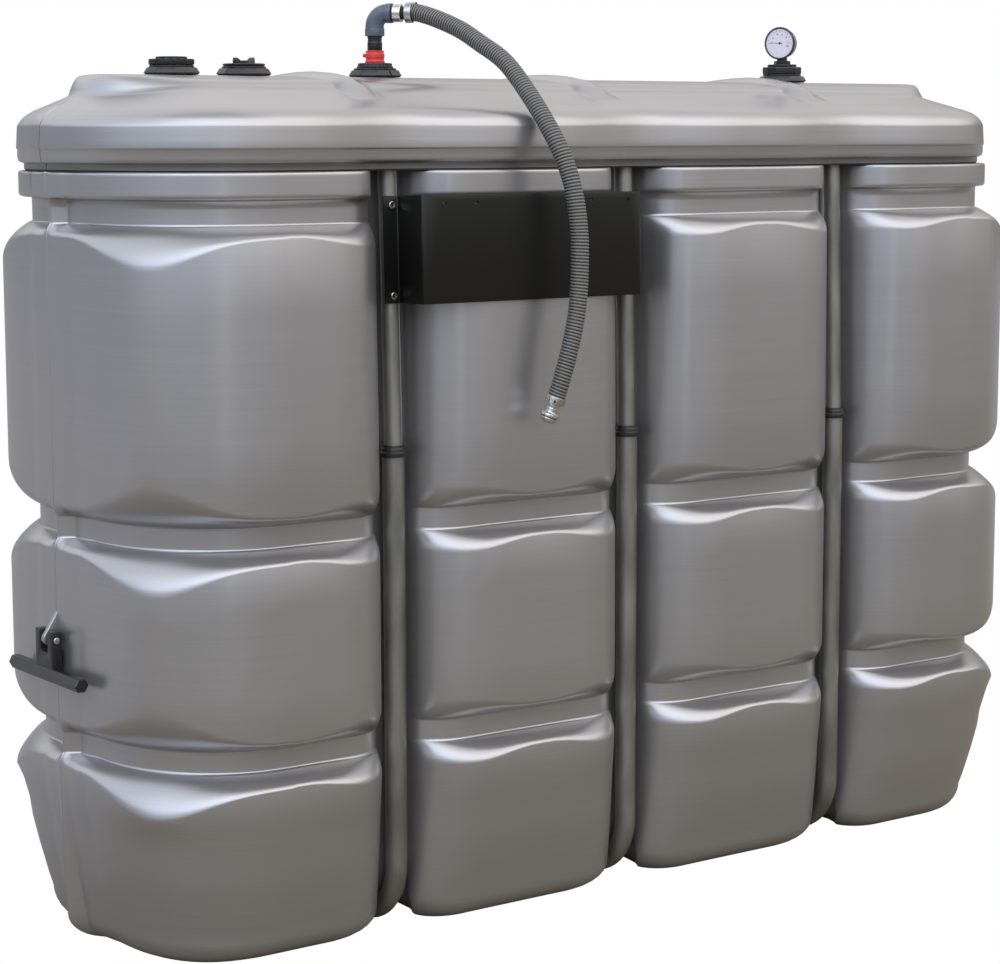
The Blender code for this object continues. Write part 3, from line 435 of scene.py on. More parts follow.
def quarterColumns():
    # Each column has its neck, bulge, rim, lid and base places, and how tall its shoulders are
    p = tankPlan
    names = ("neckX", "neckY", "bulgeX", "bulgeY", "rimX", "rimY", "lidX", "lidY", "footX", "footY",
             "crownX", "crownY", "baseX", "baseY", "inX", "inY", "corner", "side", "groove",
             "grooveSign", "lean")
    store = {name: [] for name in names}

    def add(count, **values):
        for name, parts in store.items():
            parts.append(np.broadcast_to(np.asarray(values.get(name, 0.0), float), (count,)))

    # End: a moulded ridge with its parting line, then the bowed face up to the corner
    y = np.array([0.0, 0.0011, 0.0014, 0.003, 0.007, 0.011, 0.015, 0.0185, 0.020, 0.022, 0.027, 0.036,
                  0.048, 0.063])
    share = y / p["cornerY"]
    face = p["cornerX"] + p["cornerRadiusX"] + p["endBow"] * (1 - share ** 2)
    down = np.clip((y - 0.003) / (p["seamHalf"] - 0.003), 0.0, 1.0)
    ridge = p["seamCrest"] + (p["seamFoot"] - p["seamCrest"]) * down
    line = np.where(y < p["lineHalf"], p["lineDepth"], 0.0)
    bow = 0.010 * (1 - share)
    add(len(y), neckX=-np.where(y <= p["seamHalf"], np.maximum(ridge, face), face) + line, neckY=-y,
        bulgeX=-p["seamX"] + line, bulgeY=-y, rimX=-p["seamX"] + line, rimY=-y,
        lidX=-1.146 + 0.008 * share ** 2 + line, lidY=-y,
        footX=-(p["cornerX"] + 0.209 * np.sqrt(1 - (y / 0.180) ** 2)), footY=-y,
        crownX=-(p["cornerX"] + 0.185 * np.sqrt(1 - (y / 0.144) ** 2)), crownY=-y,
        baseX=-1.012 - bow, baseY=-y, inX=1.0, corner=0.16)
    # Corner: ellipses from the end round to the front
    degrees = np.linspace(0.0, 90.0, 31)[:-1]
    c, s = np.cos(np.radians(degrees)), np.sin(np.radians(degrees))
    facing = ease(degrees / 40.0)
    rx, ry = p["cornerRadiusX"], p["cornerRadiusY"]
    swell = 0.040 + 0.022 * facing
    band = 0.035 - 0.014 * facing
    lid = 0.025 + 0.008 * (1 - facing) - 0.008 * np.sin(np.radians(2 * degrees))
    foot = np.radians(26.39 + degrees * (90.0 - 26.39) / 90.0)
    crown = np.radians(33.75 + degrees * (90.0 - 33.75) / 90.0)
    power = 2.0 / 3.0
    add(len(c), neckX=-(p["cornerX"] + rx * c), neckY=-(p["cornerY"] + ry * s),
        bulgeX=-(p["cornerX"] + (rx + swell) * c), bulgeY=-(p["cornerY"] + (ry + swell) * s),
        rimX=-(p["cornerX"] + (rx + band) * c), rimY=-(p["cornerY"] + (ry + band) * s),
        lidX=-(p["cornerX"] + 0.014 * (1 - facing) + (rx + lid) * c),
        lidY=-(p["cornerY"] + (ry + lid) * s),
        footX=-(p["cornerX"] + 0.209 * np.cos(foot)), footY=-0.180 * np.sin(foot),
        crownX=-(p["cornerX"] + 0.185 * np.cos(crown)), crownY=-0.144 * np.sin(crown),
        baseX=-(p["cornerX"] + 0.155 * c ** power), baseY=-(p["cornerY"] + 0.180 * s ** power),
        inX=c, inY=s, corner=0.12 + 0.88 * np.exp(-(degrees - 39.0) ** 2 / 500.0),
        side=ease(degrees / 75.0))

    def addFace(channelX, direction, distance, extra):
        # distance is how far each column lies from the channel's edge
        turned = 0.6 * (1 - ease(distance / 0.06))
        x = channelX + direction * (p["edgeHalf"] + distance)
        start = p["edgeY"]
        add(len(distance), neckX=x, bulgeX=x, rimX=x, lidX=x, footX=x, crownX=x,
            neckY=-(start + (p["neckY"] + extra * 0.2 - start) * roundIn(distance / 0.10)),
            bulgeY=-(start + (p["bulgeY"] + extra - start) * roundIn(distance / 0.145)),
            rimY=-(start + (p["rimY"] + extra * 0.2 - start) * roundIn(distance / 0.10)),
            lidY=-lidDepth(p["edgeHalf"] + distance), footY=-0.180, crownY=-0.144,
            baseX=channelX + direction * (p["edgeHalf"] + 0.075 + distance * 0.705),
            baseY=-(0.215 + 0.045 * roundIn(distance / 0.08)),
            inX=direction * turned, inY=np.sqrt(1 - turned ** 2),
            corner=0.10 + 0.32 * (1 - ease((distance - 0.07) / 0.16)), side=1.0,
            lean=1 - ease(distance / 0.06))

    def addGroove(channelX, direction, places):
        # places run from 0 at the channel's middle to 1 at its edge
        bottom = p["grooveHalf"] / p["edgeHalf"]
        rise = np.clip((places - bottom) / (1 - bottom), 0.0, 1.0)
        x = channelX + direction * p["edgeHalf"] * places
        y = -(p["grooveY"] + (p["edgeY"] - p["grooveY"]) * rise)
        add(len(places), neckX=x, neckY=y, bulgeX=x, bulgeY=y, rimX=x, rimY=y, lidX=x,
            lidY=-lidDepth(p["edgeHalf"] * places), footX=x, footY=-0.180, crownX=x, crownY=-0.144,
            baseX=x, baseY=y, inX=direction * 0.6 * rise, inY=1.0, corner=0.42, side=1.0, groove=1.0,
            grooveSign=direction * rise, lean=1.0)

    near = 0.15 * (1 - np.cos(np.linspace(0.0, 90.0, 18)[1:] * math.pi / 180.0))
    half = np.concatenate([near, [0.18, 0.215]])
    places = np.array([0.0, 0.38, 0.75, 0.84, 0.93, 1.0])
    first = -p["bayPitch"]
    addFace(first, -1, np.concatenate([half, [0.247]])[::-1], p["endExtra"])
    addGroove(first, -1, places[:0:-1])
    addGroove(first, 1, places)
    addFace(first, 1, half, 0.0)
    addFace(0.0, -1, np.concatenate([half, [0.245]])[::-1], 0.0)
    addGroove(0.0, -1, places[::-1])
    return {name: np.concatenate(parts) for name, parts in store.items()}


def fullColumns():
    quarter = quarterColumns()
    full = {}
    for name in ("neck", "bulge", "rim", "lid", "foot", "crown", "base", "in"):
        full[name] = np.stack(allRound(quarter[name + "X"], quarter[name + "Y"]), -1)
    for name in ("groove", "side", "corner", "lean"):
        full[name] = allRoundPlain(quarter[name])
    full["grooveSign"], _ = allRound(quarter["grooveSign"], quarter["neckY"])
    return full


columns = fullColumns()
print("plan has", len(columns["corner"]), "columns")


tankShape = {
    "rim": ((0.30, 1.4870), (0.72, 1.4870), (0.90, 1.4862), (0.97, 1.4845), (1.0, 1.4815), (1.0, 1.4785),
            (1.0, 1.4475), (1.0, 1.4445), (0.97, 1.4412), (0.88, 1.4388), (0.74, 1.4374), (0.35, 1.4362),
            (0.02, 1.4348), (0.0, 1.4200)),
    "tiers": ((1.390, 0.840), (0.798, 0.422), (0.3805, None)),
    "shoulderLow": 0.014,
    "shoulderMore": 0.066,
    "shoulderPower": 0.78,
    "taper": ((0.28, 0.80), (0.24, 0.62), (0.20, 0.53), (0.15, 0.33), (0.115, 0.17), (0.085, 0.03),
              (0.062, -0.10)),
    "wall": 0.008,
    "floor": 0.18,
    "hoopY": 0.3088,
    "bend": 0.115,
    "hoopZ": 0.0257,
    "tubeRadius": 0.0212,
    "lean": 0.029,
    "leanFrom": 0.968,
}


def withHeight(plan, height):
    return np.concatenate([plan, np.broadcast_to(height, plan.shape[:1])[:, None]], 1)


def leanIn(z):
    # How far the channels and the upper tubes lean inwards at a height
    return tankShape["lean"] * np.maximum(z - tankShape["leanFrom"], 0.0)


def channelRow(index, steps, turns):
    # A channel's floor goes straight down, then round under the tank with the hoop
    t = tankShape
    centreY, centreZ = t["hoopY"] - t["bend"], t["hoopZ"] + t["bend"]
    rise = np.abs(columns["grooveSign"])
    turn = math.radians(turns[max(index - steps + len(turns), 0)])
    upright = tankPlan["grooveY"] + (tankPlan["edgeY"] - tankPlan["grooveY"]) * rise - centreY
    under = t["bend"] - t["tubeRadius"] - 0.0003 + t["tubeRadius"] * rise
    radius = upright + (under - upright) * math.sin(turn)
    straight = steps - len(turns)
    high = centreZ if index >= straight else centreZ + (0.30 - centreZ) * (1 - index / straight)
    neck = columns["neck"]
    y = np.sign(neck[:, 1]) * (centreY + radius * math.cos(turn))
    spread = 0.022 * columns["grooveSign"] * (1 - math.cos(turn))
    return np.stack([neck[:, 0] + spread, y, high - radius * math.sin(turn)], -1)


def tankRows():
    # Rows from the rim down: point = neck + share * (bulge - neck), share = sine ** power on a shoulder
    t = tankShape
    neck, bulge, rim, base = columns["neck"], columns["bulge"], columns["rim"], columns["base"]
    shoulder = t["shoulderLow"] + t["shoulderMore"] * columns["corner"]
    rows = [withHeight(neck + share * (rim - neck), z) for share, z in t["rim"]]

    def swollen(step):
        return neck + math.sin(math.pi / 2 * step) ** t["shoulderPower"] * (bulge - neck)

    steps = np.linspace(0.0, 1.0, 13) ** 1.25
    for top, low in t["tiers"]:
        rows.append(withHeight(neck, top + 0.0042))
        for step in steps:
            rows.append(withHeight(swollen(step), top - shoulder * step))
        if low is None:
            continue
        high = top - shoulder
        bottom = low + shoulder + 0.005
        for step in (0.25, 0.5, 0.75):
            rows.append(withHeight(bulge, high + (bottom - high) * step))
        for step in steps[::-1]:
            rows.append(withHeight(swollen(step), low + (shoulder + 0.005) * step))
        rows.append(withHeight(neck, low - 0.0025))
    lowest = rows[-1][:, 2]
    # Below the last shoulder the panel tapers in, then tucks under to its flat bottom
    grooved = columns["groove"] > 0
    turns = np.linspace(0.0, 90.0, 9)
    tuck = np.linspace(0.0, 90.0, 10)[1:] * math.pi / 180.0
    tapers = len(t["taper"])
    lastZ, lastShare = t["taper"][-1]
    for i in range(tapers + len(turns)):
        if i < tapers:
            z, share = t["taper"][i]
            plain = withHeight(neck + share * (bulge - neck), np.minimum(z, lowest - 0.01))
        else:
            turn = tuck[i - tapers]
            start = neck + lastShare * (bulge - neck)
            plain = withHeight(start + (1 - math.cos(turn)) * (base - start), lastZ * (1 - math.sin(turn)))
        rows.append(np.where(grooved[:, None], channelRow(i, tapers + len(turns), turns), plain))
    for row in rows:
        row[:, 1] -= np.sign(row[:, 1]) * leanIn(row[:, 2]) * columns["lean"]
    return rows


def acrossRows(ring, shares, height=None):
    # Rows of points from each front column to the back column behind it, the two ends left out
    count = ring.shape[0]
    half = count // 2
    front = ring[1:half]
    back = ring[count - 1:half:-1]
    rows = []
    for share in shares:
        row = front + (back - front) * (0.5 - share / 2)
        if height is not None:
            row[:, 2] = height(row[:, 0], row[:, 1])
        rows.append(row)
    return rows


def shellMesh(skins):
    # Each skin is (rings, rows across); the skins are joined along their first rings
    points, quads, starts = [], [], []
    total = 0
    for rings, across in skins:
        count = rings[0].shape[0]
        half = count // 2
        starts.append(total)
        points.append(np.concatenate(rings))
        quads.append(gridQuads(len(rings), count, wrapColumns=True, first=total))
        last = total + (len(rings) - 1) * count
        total += len(rings) * count
        numbers = [last + np.arange(1, half)]
        for row in across:
            points.append(row)
            numbers.append(total + np.arange(len(row)))
            total += len(row)
        numbers.append(last + np.arange(count - 1, half, -1))
        # both ends of each row across meet the ring's two end points
        numbers = [np.concatenate([[last], row, [last + half]]) for row in numbers]
        for near, far in zip(numbers, numbers[1:]):
            quads.append(np.stack([near[:-1], near[1:], far[1:], far[:-1]], -1))
    count = skins[0][0][0].shape[0]
    a = starts[0] + np.arange(count)
    b = starts[1] + np.arange(count)
    quads.append(np.stack([a, np.roll(a, -1), np.roll(b, -1), b], -1))
    faces = []
    for quad in np.concatenate(quads).tolist():
        corners = tuple(dict.fromkeys(quad))
        if len(corners) > 2:
            faces.append(corners)
    return np.concatenate(points), faces


def makeShell(name, skins, replaced, extras, sharpAngle, gapShadeTop=0.0):
    # The shell in silver; the parting line at both ends, the band at the lid's foot and the strip above it have their
    # own darker finish: painted shade of the parting line's groove and of the gap between lid and rim
    points, faces = shellMesh(skins)
    obj = makePiece(name, [(points, faces, "silver"), *extras], (replaced,),
                    sharpAngle=sharpAngle)
    middle = np.array([points[list(face)].mean(axis=0) for face in faces])
    # Faces in the parting line's groove, which get the painted shade
    inLineShade = (np.abs(middle[:, 1]) < tankPlan["lineHalf"]) & (np.abs(middle[:, 0]) > 1.09)
    # Faces below this height get the black painted shade of the gap
    low = middle[:, 2] < gapShadeTop
    # The strip just above the black band, darkened as painted shade under the lip's overhang
    stripShade = (middle[:, 2] < gapShadeTop + 0.0108) & ~low
    for key, chosen in (("seamLineShade", inLineShade), ("gapShade", low), ("stripShade", stripShade)):
        obj.data.materials.append(paint[key])
        number = len(obj.data.materials) - 1
        for index in np.nonzero(chosen)[0].tolist():
            obj.data.polygons[index].material_index = number
    return obj


handle = {
    "pinX": 1.153,
    "pinZ": 0.607,
    "pinRadius": 0.004,
    "lugHalf": 0.006,
    "lugTip": 0.0125,
    "stemHalf": 0.036,
    "stemThick": 0.021,
    "slotHalf": 0.016,
    "slotLow": -0.024,
    "earTop": 0.0175,
    "stemLow": -0.058,
    "gripZ": 0.540,
    "gripOut": 0.003,
    "gripRadius": 0.0145,
    "gripLength": 0.290,
}


def lugForm(side):
    # Moulded fin that carries a handle's pin
    h = handle
    outline = [(1.125, 0.672)]
    for degrees in np.linspace(28.0, -104.0, 12):
        turn = math.radians(degrees)
        outline.append((h["pinX"] + h["lugTip"] * math.cos(turn), h["pinZ"] + h["lugTip"] * math.sin(turn)))
    outline.append((1.125, 0.588))
    return slab(outline, 2 * h["lugHalf"], 0.0012, "silver", u=(side, 0, 0), v=(0, 0, 1))


def makeTank():
    rows = tankRows()
    inward = columns["in"] * tankShape["wall"]
    inner = []
    picks = [(0, 0.0), (4, 0.003), (8, 0.006), (13, 0.014), (14, -0.010), (27, -0.005), (31, 0.005), (44, 0.010),
             (45, -0.010)]
    for row, lift in picks:
        ring = rows[row].copy()
        ring[:, :2] += inward
        ring[:, 2] += lift
        inner.append(ring)
    floor = withHeight(columns["neck"] + inward * 2.0, tankShape["floor"])
    inner.append(floor)
    outerAcross = acrossRows(rows[-1], (0.5, 0.0, -0.5))
    innerAcross = acrossRows(floor, (0.0,))
    return makeShell("tankShell", [(rows, outerAcross), (inner, innerAcross)], "outer_tank",
                     [lugForm(-1), lugForm(1)], 100.0)


lidShape = {
    "crown": 1.667,
    "ridgeHalf": 0.040,
    "wall": 0.006,
    "archY": (0.0, 0.03, 0.095, 0.149, 0.20, 0.228, 0.255),
    "archZ": (1.677, 1.677, 1.673, 1.665, 1.652, 1.637, 1.606),
    "side": ((0.016, 1.4873), (0.016, 1.4898), (0.014, 1.4902), (0.014, 1.5000), (0.0135, 1.5012),
             (0.0100, 1.5022), (0.0060, 1.5034), (0.0038, 1.5055), (0.0028, 1.5085), (0.0020, 1.5130),
             (0.0020, 1.5262), (0.0014, 1.5275), (0.0003, 1.5285), (0.0, 1.5310), (0.0009, 1.545),
             (0.0018, 1.559), (0.0024, 1.568), (0.0028, 1.5715)),
    "inside": ((0.016, 1.4873), (0.016, 1.512), (0.002, 1.518), (0.004, 1.566)),
    # height up to which the lid's foot is painted black as the gap's shade
    "gapShadeTop": 1.4901,
    # share of the way up the slope and height, along the sides and at the ends
    "longShare": (0.022, 0.039, 0.059, 0.090, 0.146, 0.244, 0.36, 0.50, 0.634, 0.82, 1.0),
    "longZ": (1.5752, 1.5815, 1.5863, 1.5915, 1.598, 1.604, 1.6095, 1.616, 1.622, 1.631, 1.640),
    "endShare": (0.055, 0.100, 0.150, 0.23, 0.34, 0.48, 0.62, 0.74, 0.84, 0.93, 1.0),
    "endZ": (1.5752, 1.5820, 1.5872, 1.5935, 1.600, 1.606, 1.612, 1.617, 1.621, 1.6245, 1.6275),
}


def crownHeight(x, y):
    # Gently domed top
    dropY = 0.010 * (np.clip(np.abs(y) / 0.144, 0, 1)) ** 2.2
    dropX = 0.008 * (1 - np.clip((1.042 - np.abs(x)) / 0.02, 0, 1)) ** 2
    return np.maximum(lidShape["crown"] - dropY - dropX, 1.657)


def addRidges(points, drop=0.0):
    # Arched ribs over the hoops: height over the lid falls off with the distance from the hoop's plane
    x, y = points[:, 0], np.abs(points[:, 1])
    arch = np.interp(y, lidShape["archY"], lidShape["archZ"]) - drop
    for channel in (-0.57, 0.0, 0.57):
        away = np.abs(x - channel) / lidShape["ridgeHalf"]
        weight = np.where(away < 1, np.cos(np.clip(away, 0, 1) * math.pi / 2) ** 1.1, 0.0)
        weight = np.where(y < 0.256, weight, 0.0)
        points[:, 2] += np.maximum(arch - points[:, 2], 0.0) * weight
    return points


def lidSkin(outer):
    lid, foot, crown = columns["lid"], columns["foot"], columns["crown"]
    side = columns["side"]
    inward = columns["in"] / np.linalg.norm(columns["in"], axis=1)[:, None]
    wall = 0.0 if outer else lidShape["wall"]
    rows = []
    for distance, z in lidShape["side"] if outer else lidShape["inside"]:
        rows.append(withHeight(lid + inward * (distance + wall), z))
    # Over the edge and up the slope to the foot of the raised middle
    start = lid + inward * wall
    for i in range(len(lidShape["longShare"])) if outer else (2, 5, 8, 10):
        endShare, endZ = lidShape["endShare"][i], lidShape["endZ"][i]
        share = (endShare + (lidShape["longShare"][i] - endShare) * side)[:, None]
        height = endZ + (lidShape["longZ"][i] - endZ) * side - wall
        rows.append(withHeight(start + share * (foot - start), height))
    low = 1.6275 + (1.640 - 1.6275) * side - wall
    top = crownHeight(crown[:, 0], crown[:, 1]) - wall
    for step in ((0.15, 0.35, 0.6, 0.8, 1.0) if outer else (1.0,)):
        rows.append(withHeight(foot + step * (crown - foot), low + (top - low) * (1 - (1 - step) ** 2.3)))
    shares = np.linspace(1.0, -1.0, 25 if outer else 7)[1:-1]
    across = acrossRows(rows[-1], shares, lambda x, y: crownHeight(x, y) - wall)
    return [addRidges(row, wall) for row in rows], [addRidges(row, wall) for row in across]


leak = {"x": 1.093, "z": 1.624, "seatRadius": 0.021}


def makeLid():
    seat = lathe([(0, -0.020), (leak["seatRadius"], -0.020), (leak["seatRadius"], 0.0), (0, 0.0)], "silver",
                 (leak["x"], 0, leak["z"]), steps=32)
    return makeShell("lidShell", [lidSkin(True), lidSkin(False)], "lid", [seat], 50.0, lidShape["gapShadeTop"])


tank = makeTank()
print("tank shell:", len(tank.data.polygons), "faces")
lid = makeLid()
print("lid shell:", len(lid.data.polygons), "faces")


# Hoops: a thick tube under the tank, a thinner one up under the lid's ridge, and a ring at each joint

hoop = {
    "places": (-0.570, 0.0, 0.570),
    "jointZ": 0.950,
    "upperRadius": 0.01685,
    "topZ": 1.578,
    "topBend": 0.060,
    "touch": 0.0003,
    # radius and height of the joint ring's stepped section
    "ring": ((0.0215, -0.007), (0.0262, -0.007), (0.0262, 0.0015), (0.0240, 0.0030), (0.0240, 0.0085),
             (0.0222, 0.0105), (0.0222, 0.0150), (0.01715, 0.0150), (0.01715, 0.0003), (0.0215, 0.0003)),
}


def arc(centreY, centreZ, radius, start, stop, steps=14):
    turns = np.radians(np.linspace(start, stop, steps))
    return [(centreY + radius * math.cos(t), centreZ + radius * math.sin(t)) for t in turns]


def makeHoops():
    t, h = tankShape, hoop
    lowY, lowZ = t["hoopY"] - t["bend"], t["hoopZ"] + t["bend"]
    lower = [(-t["hoopY"], h["jointZ"]), *arc(-lowY, lowZ, t["bend"], 180, 270),
             *arc(lowY, lowZ, t["bend"], 270, 360), (t["hoopY"], h["jointZ"])]
    topZ = h["topZ"] - h["topBend"]
    topY = t["hoopY"] - float(leanIn(topZ)) - h["topBend"]
    start = h["jointZ"] + h["touch"]
    upper = [(-t["hoopY"], start), (-t["hoopY"], t["leanFrom"]), *arc(-topY, topZ, h["topBend"], 180, 90),
             *arc(topY, topZ, h["topBend"], 90, 0), (t["hoopY"], t["leanFrom"]), (t["hoopY"], start)]
    for number, x in enumerate(h["places"], start=1):
        for name, path, radius in (("lower", lower, t["tubeRadius"]), ("upper", upper, h["upperRadius"])):
            form = sweep([(x, y, z) for y, z in path], radius, "galvanised", 36)
            makePiece("hoop_%s%d" % (name, number), [form], ("hoop_%s_%d" % (name, number),))
        for name, side in (("front", -1), ("back", 1)):
            points, faces, key = lathe(h["ring"], "black", (x, side * t["hoopY"], h["jointZ"]), closed=True,
                                       steps=40, soft=0.0005)
            # the back of the ring is flattened where it meets the channel
            flat = t["hoopY"] - t["tubeRadius"]
            points[:, 1] = side * np.maximum(points[:, 1] * side, flat)
            makePiece("jointRing_%s%d" % (name, number), [(points, faces, key)],
                      ("hoop_ring_%s_%d" % (name, number),))


makeHoops()
print("hoops made")


# Pump bracket: folded sheet across the first two hoops, leaning in with them

bracket = {
    "high": 0.203,
    "middleZ": 1.3375,
    "sheet": 0.003,
    # middle line of the sheet: along the tank, and out from the hoops' fronts
    "line": ((-0.5920, 0.0015), (-0.5580, 0.0015), (-0.5685, 0.0995), (-0.0515, 0.0995), (-0.0122, 0.0015),
             (0.0225, 0.0015)),
    "bend": 0.0065,
    "holes": (-0.5205, -0.4460, -0.1730, -0.0820),
    "holeDown": 0.0155,
    "holeRadius": 0.0038,
    "deep": 0.098,
    "screwX": -0.5737,
    "screwUps": (0.0843, -0.0870),
}
tilt = -math.atan(tankShape["lean"])
outward = np.array((0.0, -math.cos(tilt), -math.sin(tilt)))
upward = np.array((0.0, -math.sin(tilt), math.cos(tilt)))


def onBracket(x, out, up):
    back = tankShape["hoopY"] - float(leanIn(bracket["middleZ"]))
    back += (hoop["upperRadius"] + hoop["touch"]) / math.cos(tilt)
    return np.array((x, -back, bracket["middleZ"])) + outward * out + upward * up


def cutHoles(obj, cutters):
    for cutter in cutters:
        mesh = bpy.data.meshes.new("holeForm")
        mesh.from_pydata(cutter[0].tolist(), [], [tuple(face) for face in cutter[1]])
        form = bpy.data.objects.new("holeForm", mesh)
        bpy.context.scene.collection.objects.link(form)
        cut = obj.modifiers.new("hole", "BOOLEAN")
        cut.operation = "DIFFERENCE"
        cut.object = form
        cut.solver = "EXACT"
    bpy.context.view_layer.update()
    done = bpy.data.meshes.new_from_object(obj.evaluated_get(bpy.context.evaluated_depsgraph_get()))
    for cut in list(obj.modifiers):
        bpy.data.objects.remove(cut.object, do_unlink=True)
    obj.modifiers.clear()
    obj.data = done
    done.set_sharp_from_angle(angle=math.radians(32.0))


def makeBracket():
    b = bracket
    line = rounded(b["line"], b["bend"], 6)
    step = np.gradient(line, axis=0)
    step /= np.linalg.norm(step, axis=1)[:, None]
    normal = np.stack([-step[:, 1], step[:, 0]], -1) * b["sheet"] / 2
    outline = np.concatenate([line + normal, (line - normal)[::-1]])
    form = slab(outline, b["high"], 0.0005, "sheet", onBracket(0, 0, 0), u=(1, 0, 0), v=outward)
    obj = makePiece("pumpBracket", [form], ("pump_bracket",), sharpAngle=40.0)
    holes = [lathe([(0, -0.01), (b["holeRadius"], -0.01), (b["holeRadius"], 0.01), (0, 0.01)], "sheet",
                   onBracket(x, b["deep"], b["high"] / 2 - b["holeDown"]), outward, 24, soft=0.0)
             for x in b["holes"]]
    cutHoles(obj, holes)
    for name, up in zip(("upper", "lower"), b["screwUps"]):
        head = [(0, 0.0016), (0.0034, 0.0016), (0.0036, 0.0044), (0.0064, 0.0046), (0.0075, 0.0034),
                (0.0075, 0.0003), (0, 0.0003)]
        at = onBracket(b["screwX"], b["sheet"], up)
        # A dark hexagon at the bottom of the head's recess: painted shade of the hex socket
        socket = [(0, 0.0017), (0.0031, 0.0017), (0.0031, 0.0021), (0, 0.0021)]
        makePiece("bracketScrew_" + name,
                  [lathe(head, "zinc", at, outward, 32, soft=0.0004), lathe(socket, "gasket", at, outward, 6, soft=0)],
                  ("bracket_screw_" + name,))


makeBracket()
print("bracket made")


# Collars and caps on the lid's crown

fitting = {
    "seat": lidShape["crown"] + 0.0006,
    "top": 1.6857,
    "places": {"fill": -0.866, "plug": -0.7075, "suction": -0.405, "gauge": 0.686},
    "facets": 10,
    "gripTurn": -35.0,
}


def facetTurn(x):
    # Each collar's facets start at their own angle
    return {"fill": 0.1, "plug": 0.3, "suction": 0.2, "gauge": 0.05}[x]


def makeCollars():
    f = fitting
    for name, x in f["places"].items():
        at = (x, 0, f["seat"])
        gasket = lathe([(0, 0), (0.0510, 0), (0.0512, 0.0021), (0, 0.0021)], "gasket", at, soft=0.0003)
        shift = facetTurn(name)

        def facetRadius(radius, height, angles):
            # flat sides: the radius of a polygon whose corners lie on the circle
            span = math.tau / f["facets"]
            inside = np.mod(angles + shift, span) - span / 2
            flat = math.cos(span / 2) / np.cos(inside)
            share = np.clip((radius - 0.046) / 0.003, 0.0, 1.0)
            return radius * (1 + (flat - 1) * share)

        flare = lathe([(0, 0.0140), (0.0440, 0.0140), (0.0490, 0.0134), (0.0535, 0.0062), (0.0550, 0.0034),
                       (0.0550, 0.0022), (0, 0.0022)], "gloss", at, steps=80, wave=facetRadius, soft=0.0004)
        neck = lathe([(0, 0.0135), (0.0430, 0.0135), (0.0430, 0.0168), (0.0420, 0.0178), (0, 0.0178)], "gloss",
                     at, soft=0.0006)
        makePiece("collar" + name.capitalize(), [gasket, flare, neck], ("collar_" + name,),
                  sharpAngle=22.0)


def ribbedEdge(count, depth, from_):
    # Notches round an edge wherever the radius is at least from_
    def wave(radius, height, angles):
        if radius < from_:
            return np.full(len(angles), radius)
        return radius - depth * np.clip(np.cos(angles * count) * 1.6, 0.0, 1.0)
    return wave


def makeCaps():
    f = fitting
    top = f["top"]
    fillAt = (f["places"]["fill"], 0, top)
    base = lathe([(0, 0), (0.0410, 0), (0.0435, 0.0015), (0.0435, 0.0105), (0.0425, 0.0114), (0, 0.0114)], "gloss",
                 fillAt, steps=144, wave=ribbedEdge(18, 0.0014, 0.0420))
    knob = lathe([(0, 0.0110), (0.0300, 0.0110), (0.0300, 0.0150), (0.0290, 0.0160), (0.0180, 0.0160),
                  (0.0170, 0.0150), (0, 0.0150)], "gloss", fillAt, soft=0.0008)
    makePiece("screwCap", [base, knob], ("screw_cap",))
    plugAt = (f["places"]["plug"], 0, top)
    disc = lathe([(0, 0), (0.0395, 0), (0.0415, 0.0024), (0.0415, 0.0038), (0.0400, 0.0050), (0, 0.0050)], "gloss",
                 plugAt, steps=64)
    makePiece("plugDisc", [disc], ("plug_disc",))
    turn = math.radians(f["gripTurn"])
    u = (math.cos(turn), math.sin(turn), 0)
    at = (f["places"]["plug"], 0, top + 0.0053)
    saddle = [(-0.0075, 0.0), (0.0075, 0.0), (0.0075, 0.0058), (-0.0075, 0.0058)]
    left = [(-0.0215, 0.0), (-0.0070, 0.0), (-0.0070, 0.0070), (-0.0120, 0.0112), (-0.0205, 0.0115)]
    right = [(-x, z) for x, z in left][::-1]
    makePiece("plugGrip",
              [slab(rounded(left, 0.0012, 2, True), 0.012, 0.0010, "gloss", at, u, (0, 0, 1)),
               slab(rounded(right, 0.0012, 2, True), 0.012, 0.0010, "worn", at, u, (0, 0, 1)),
               slab(saddle, 0.0100, 0.0008, "gloss", at, u, (0, 0, 1))],
              ("plug_grip",))
    suctionAt = (f["places"]["suction"], 0, top)
    cover = lathe([(0, 0), (0.0370, 0), (0.0370, 0.0030), (0.0345, 0.0036), (0.0345, 0.0080), (0.0330, 0.0100),
                   (0, 0.0100)], "gloss", suctionAt, steps=96, wave=ribbedEdge(24, 0.0009, 0.0338))
    makePiece("suctionCap", [cover], ("suction_cap",))
    redAt = (f["places"]["suction"], 0, top + 0.0103)
    red = lathe([(0, 0), (0.0197, 0), (0.0197, 0.0040), (0.0184, 0.0052), (0.0184, 0.0092), (0.0194, 0.0104),
                 (0.0194, 0.0180), (0.0180, 0.0192), (0.0180, 0.0222), (0.0185, 0.0230), (0.0185, 0.0240),
                 (0.0178, 0.0245), (0, 0.0245)], "red", redAt, steps=48)
    stub = lathe([(0, 0), (0.0036, 0), (0.0036, 0.0065), (0, 0.0065)], "red",
                 (f["places"]["suction"] - 0.0145, 0.0105, top + 0.0103 + 0.0150), (-0.82, 0.57, 0), 20)
    makePiece("suctionFitting", [red, stub], ("suction_fitting",))
    riserZ = top + 0.0103 + 0.0248
    rise = suction["riserTop"] - riserZ
    riser = lathe([(0, 0), (0.0150, 0), (0.0150, rise * 0.55), (0.0142, rise * 0.6), (0.0142, rise * 0.85),
                   (0.0150, rise * 0.9), (0.0150, rise), (0, rise)], "gloss",
                  (f["places"]["suction"], 0, riserZ), soft=0.0005)
    makePiece("riserPipe", [riser], ("riser_pipe",))


# Suction line: elbow, tail, clamps, hose and its closed coupling

